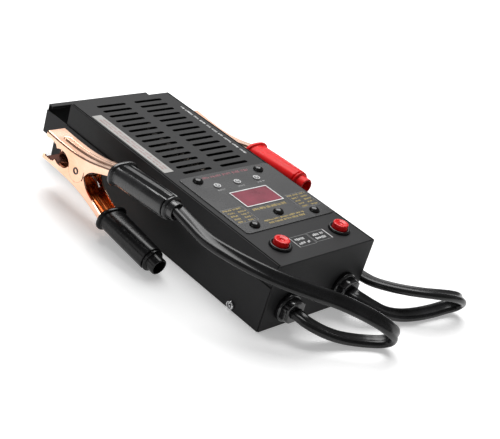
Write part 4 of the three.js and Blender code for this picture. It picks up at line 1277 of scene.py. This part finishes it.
def clamp(name, joint, jaw, pitch, cable_side, opening, vinyls, vinyl_slot):
    """A whole clamp, placed at its joint.

    pitch lifts the jaw tips, opening swings the moving half, and cable_side is 1 where the lead enters
    above. vinyls are the materials of the cable-side sleeve and of the plain one.
    """
    pivot = Matrix.Translation(Vector(JOINTS[joint]["pos_m"]))
    tilt = Matrix.Rotation(math.radians(pitch), 4, "X")
    swing = Matrix.Rotation(-cable_side * math.radians(opening), 4, "X")
    over = {1: 0.0, -1: math.pi}
    fixed = pivot @ tilt @ Matrix.Rotation(over[cable_side], 4, "Y")
    moving = pivot @ tilt @ swing @ Matrix.Rotation(over[-cable_side], 4, "Y")
    at_collar = Matrix.Translation((0, COLLAR_Y * MM, handle_centre(COLLAR_Y) * MM))
    at_collar = at_collar @ Matrix.Rotation(-math.atan(HANDLE_SLOPE), 4, "X")
    parts = [
        (clamp_half(f"{name}_jaw_fixed", -88, False), fixed, "tester", "copper_plate", None, "cable_half"),
        (clamp_half(f"{name}_jaw_swinging", -85, True), moving, jaw, "copper_plate", None, "moving_half"),
        (torsion_spring(f"{name}_jaw_spring"), fixed, "tester", "zinc_steel", ZINC, "spring"),
        (rivet(f"{name}_jaw_rivet"), fixed, "tester", "zinc_steel", DARK_STEEL, "rivet"),
        (
            sleeve(f"{name}_grip_cable", -97.5 - COLLAR_Y, -103.5 - COLLAR_Y, True, 2.3),
            fixed @ at_collar, "tester", vinyl_slot, vinyls[0], "cable_sleeve",
        ),
        (
            sleeve(f"{name}_grip_plain", -93.5 - COLLAR_Y, -101 - COLLAR_Y, False, 0.5),
            moving @ at_collar, jaw, vinyl_slot, vinyls[1], "moving_sleeve",
        ),
    ]
    for piece, place, body, slot, material, node in parts:
        piece.data.transform(place)
        finished(piece, body, material, [f"{name}_clamp_{node}"])


# The black clamp's cable-side sleeve takes the paler vinyl, painted light. Its plain sleeve takes the plain
# black.
clamp("black", "black_jaw_open", "black_jaw", 0.9, 1, 0.0, (BLACK_VINYL_PAINTED_LIGHT, BLACK_VINYL), "black_vinyl")
clamp("red", "red_jaw_open", "red_jaw", -2.6, -1, 5.6, (RED_VINYL, RED_VINYL), "red_vinyl")

# ---------------- carried-over CAD nodes

CARRIED = {
    "button_nut": ZINC, "button_spring": ZINC, "contact_block": NYLON, "circuit_board": GREEN_BOARD,
    "digit_display": NYLON, "board_pillar": BRASS, "load_frame": DARK_STEEL, "ceramic_rod": CERAMIC,
    "load_coil": NICHROME, "heat_shield": MICA, "load_relay": NYLON, "current_shunt": BRASS,
}
for node_name, node in frame["nodes"].items():
    for part, substance_of_part in CARRIED.items():
        if part in node_name:
            for material_slot in node.material_slots:
                material_slot.material = substance_of_part

# ---------------- floor and light


def floor():
    half = 4.0
    mesh = bpy.data.meshes.new("floor")
    corners = [(-half, -half, 0), (half, -half, 0), (half, half, 0), (-half, half, 0)]
    mesh.from_pydata(corners, [], [[0, 1, 2, 3]])
    obj = bpy.data.objects.new("floor", mesh)
    bpy.context.scene.collection.objects.link(obj)
    obj.location.z = -0.0002
    pale = substance(
        "pale_floor", (0.86, 0.86, 0.86), (0.90, 0.90, 0.90), (0.6, 0.7),
        grain=60, bump=0.0, strength=0.0, mottle=3,
    )
    glow = pale.node_tree.nodes["Principled BSDF"].inputs
    glow["Emission Color"].default_value = (1.0, 1.0, 1.0, 1.0)
    glow["Emission Strength"].default_value = 0.32
    mesh.materials.append(pale)


def area_light(name, place, target, size, power):
    data = bpy.data.lights.new(name, "AREA")
    data.shape = "RECTANGLE"
    data.size, data.size_y = size
    data.energy = power
    obj = bpy.data.objects.new(name, data)
    obj.location = place
    obj.rotation_euler = (Vector(target) - Vector(place)).to_track_quat("-Z", "Y").to_euler()
    bpy.context.scene.collection.objects.link(obj)


def studio():
    world = bpy.data.worlds.new("studio")
    world.use_nodes = True
    background = world.node_tree.nodes["Background"]
    background.inputs["Color"].default_value = (1.0, 1.0, 1.0, 1.0)
    background.inputs["Strength"].default_value = 0.18
    bpy.context.scene.world = world
    bpy.context.scene.view_settings.view_transform = "Standard"
    area_light("rear_softbox", (0.55, 0.72, 1.75), (0, 0, 0), (1.7, 1.5), 50)
    area_light("far_softbox", (0.78, 0.95, 0.6), (0, 0, 0.04), (0.9, 1.0), 2.3)
    area_light("left_softbox", (-1.3, 0.2, 0.5), (0, 0, 0.03), (0.9, 0.5), 1.8)


floor()
studio()
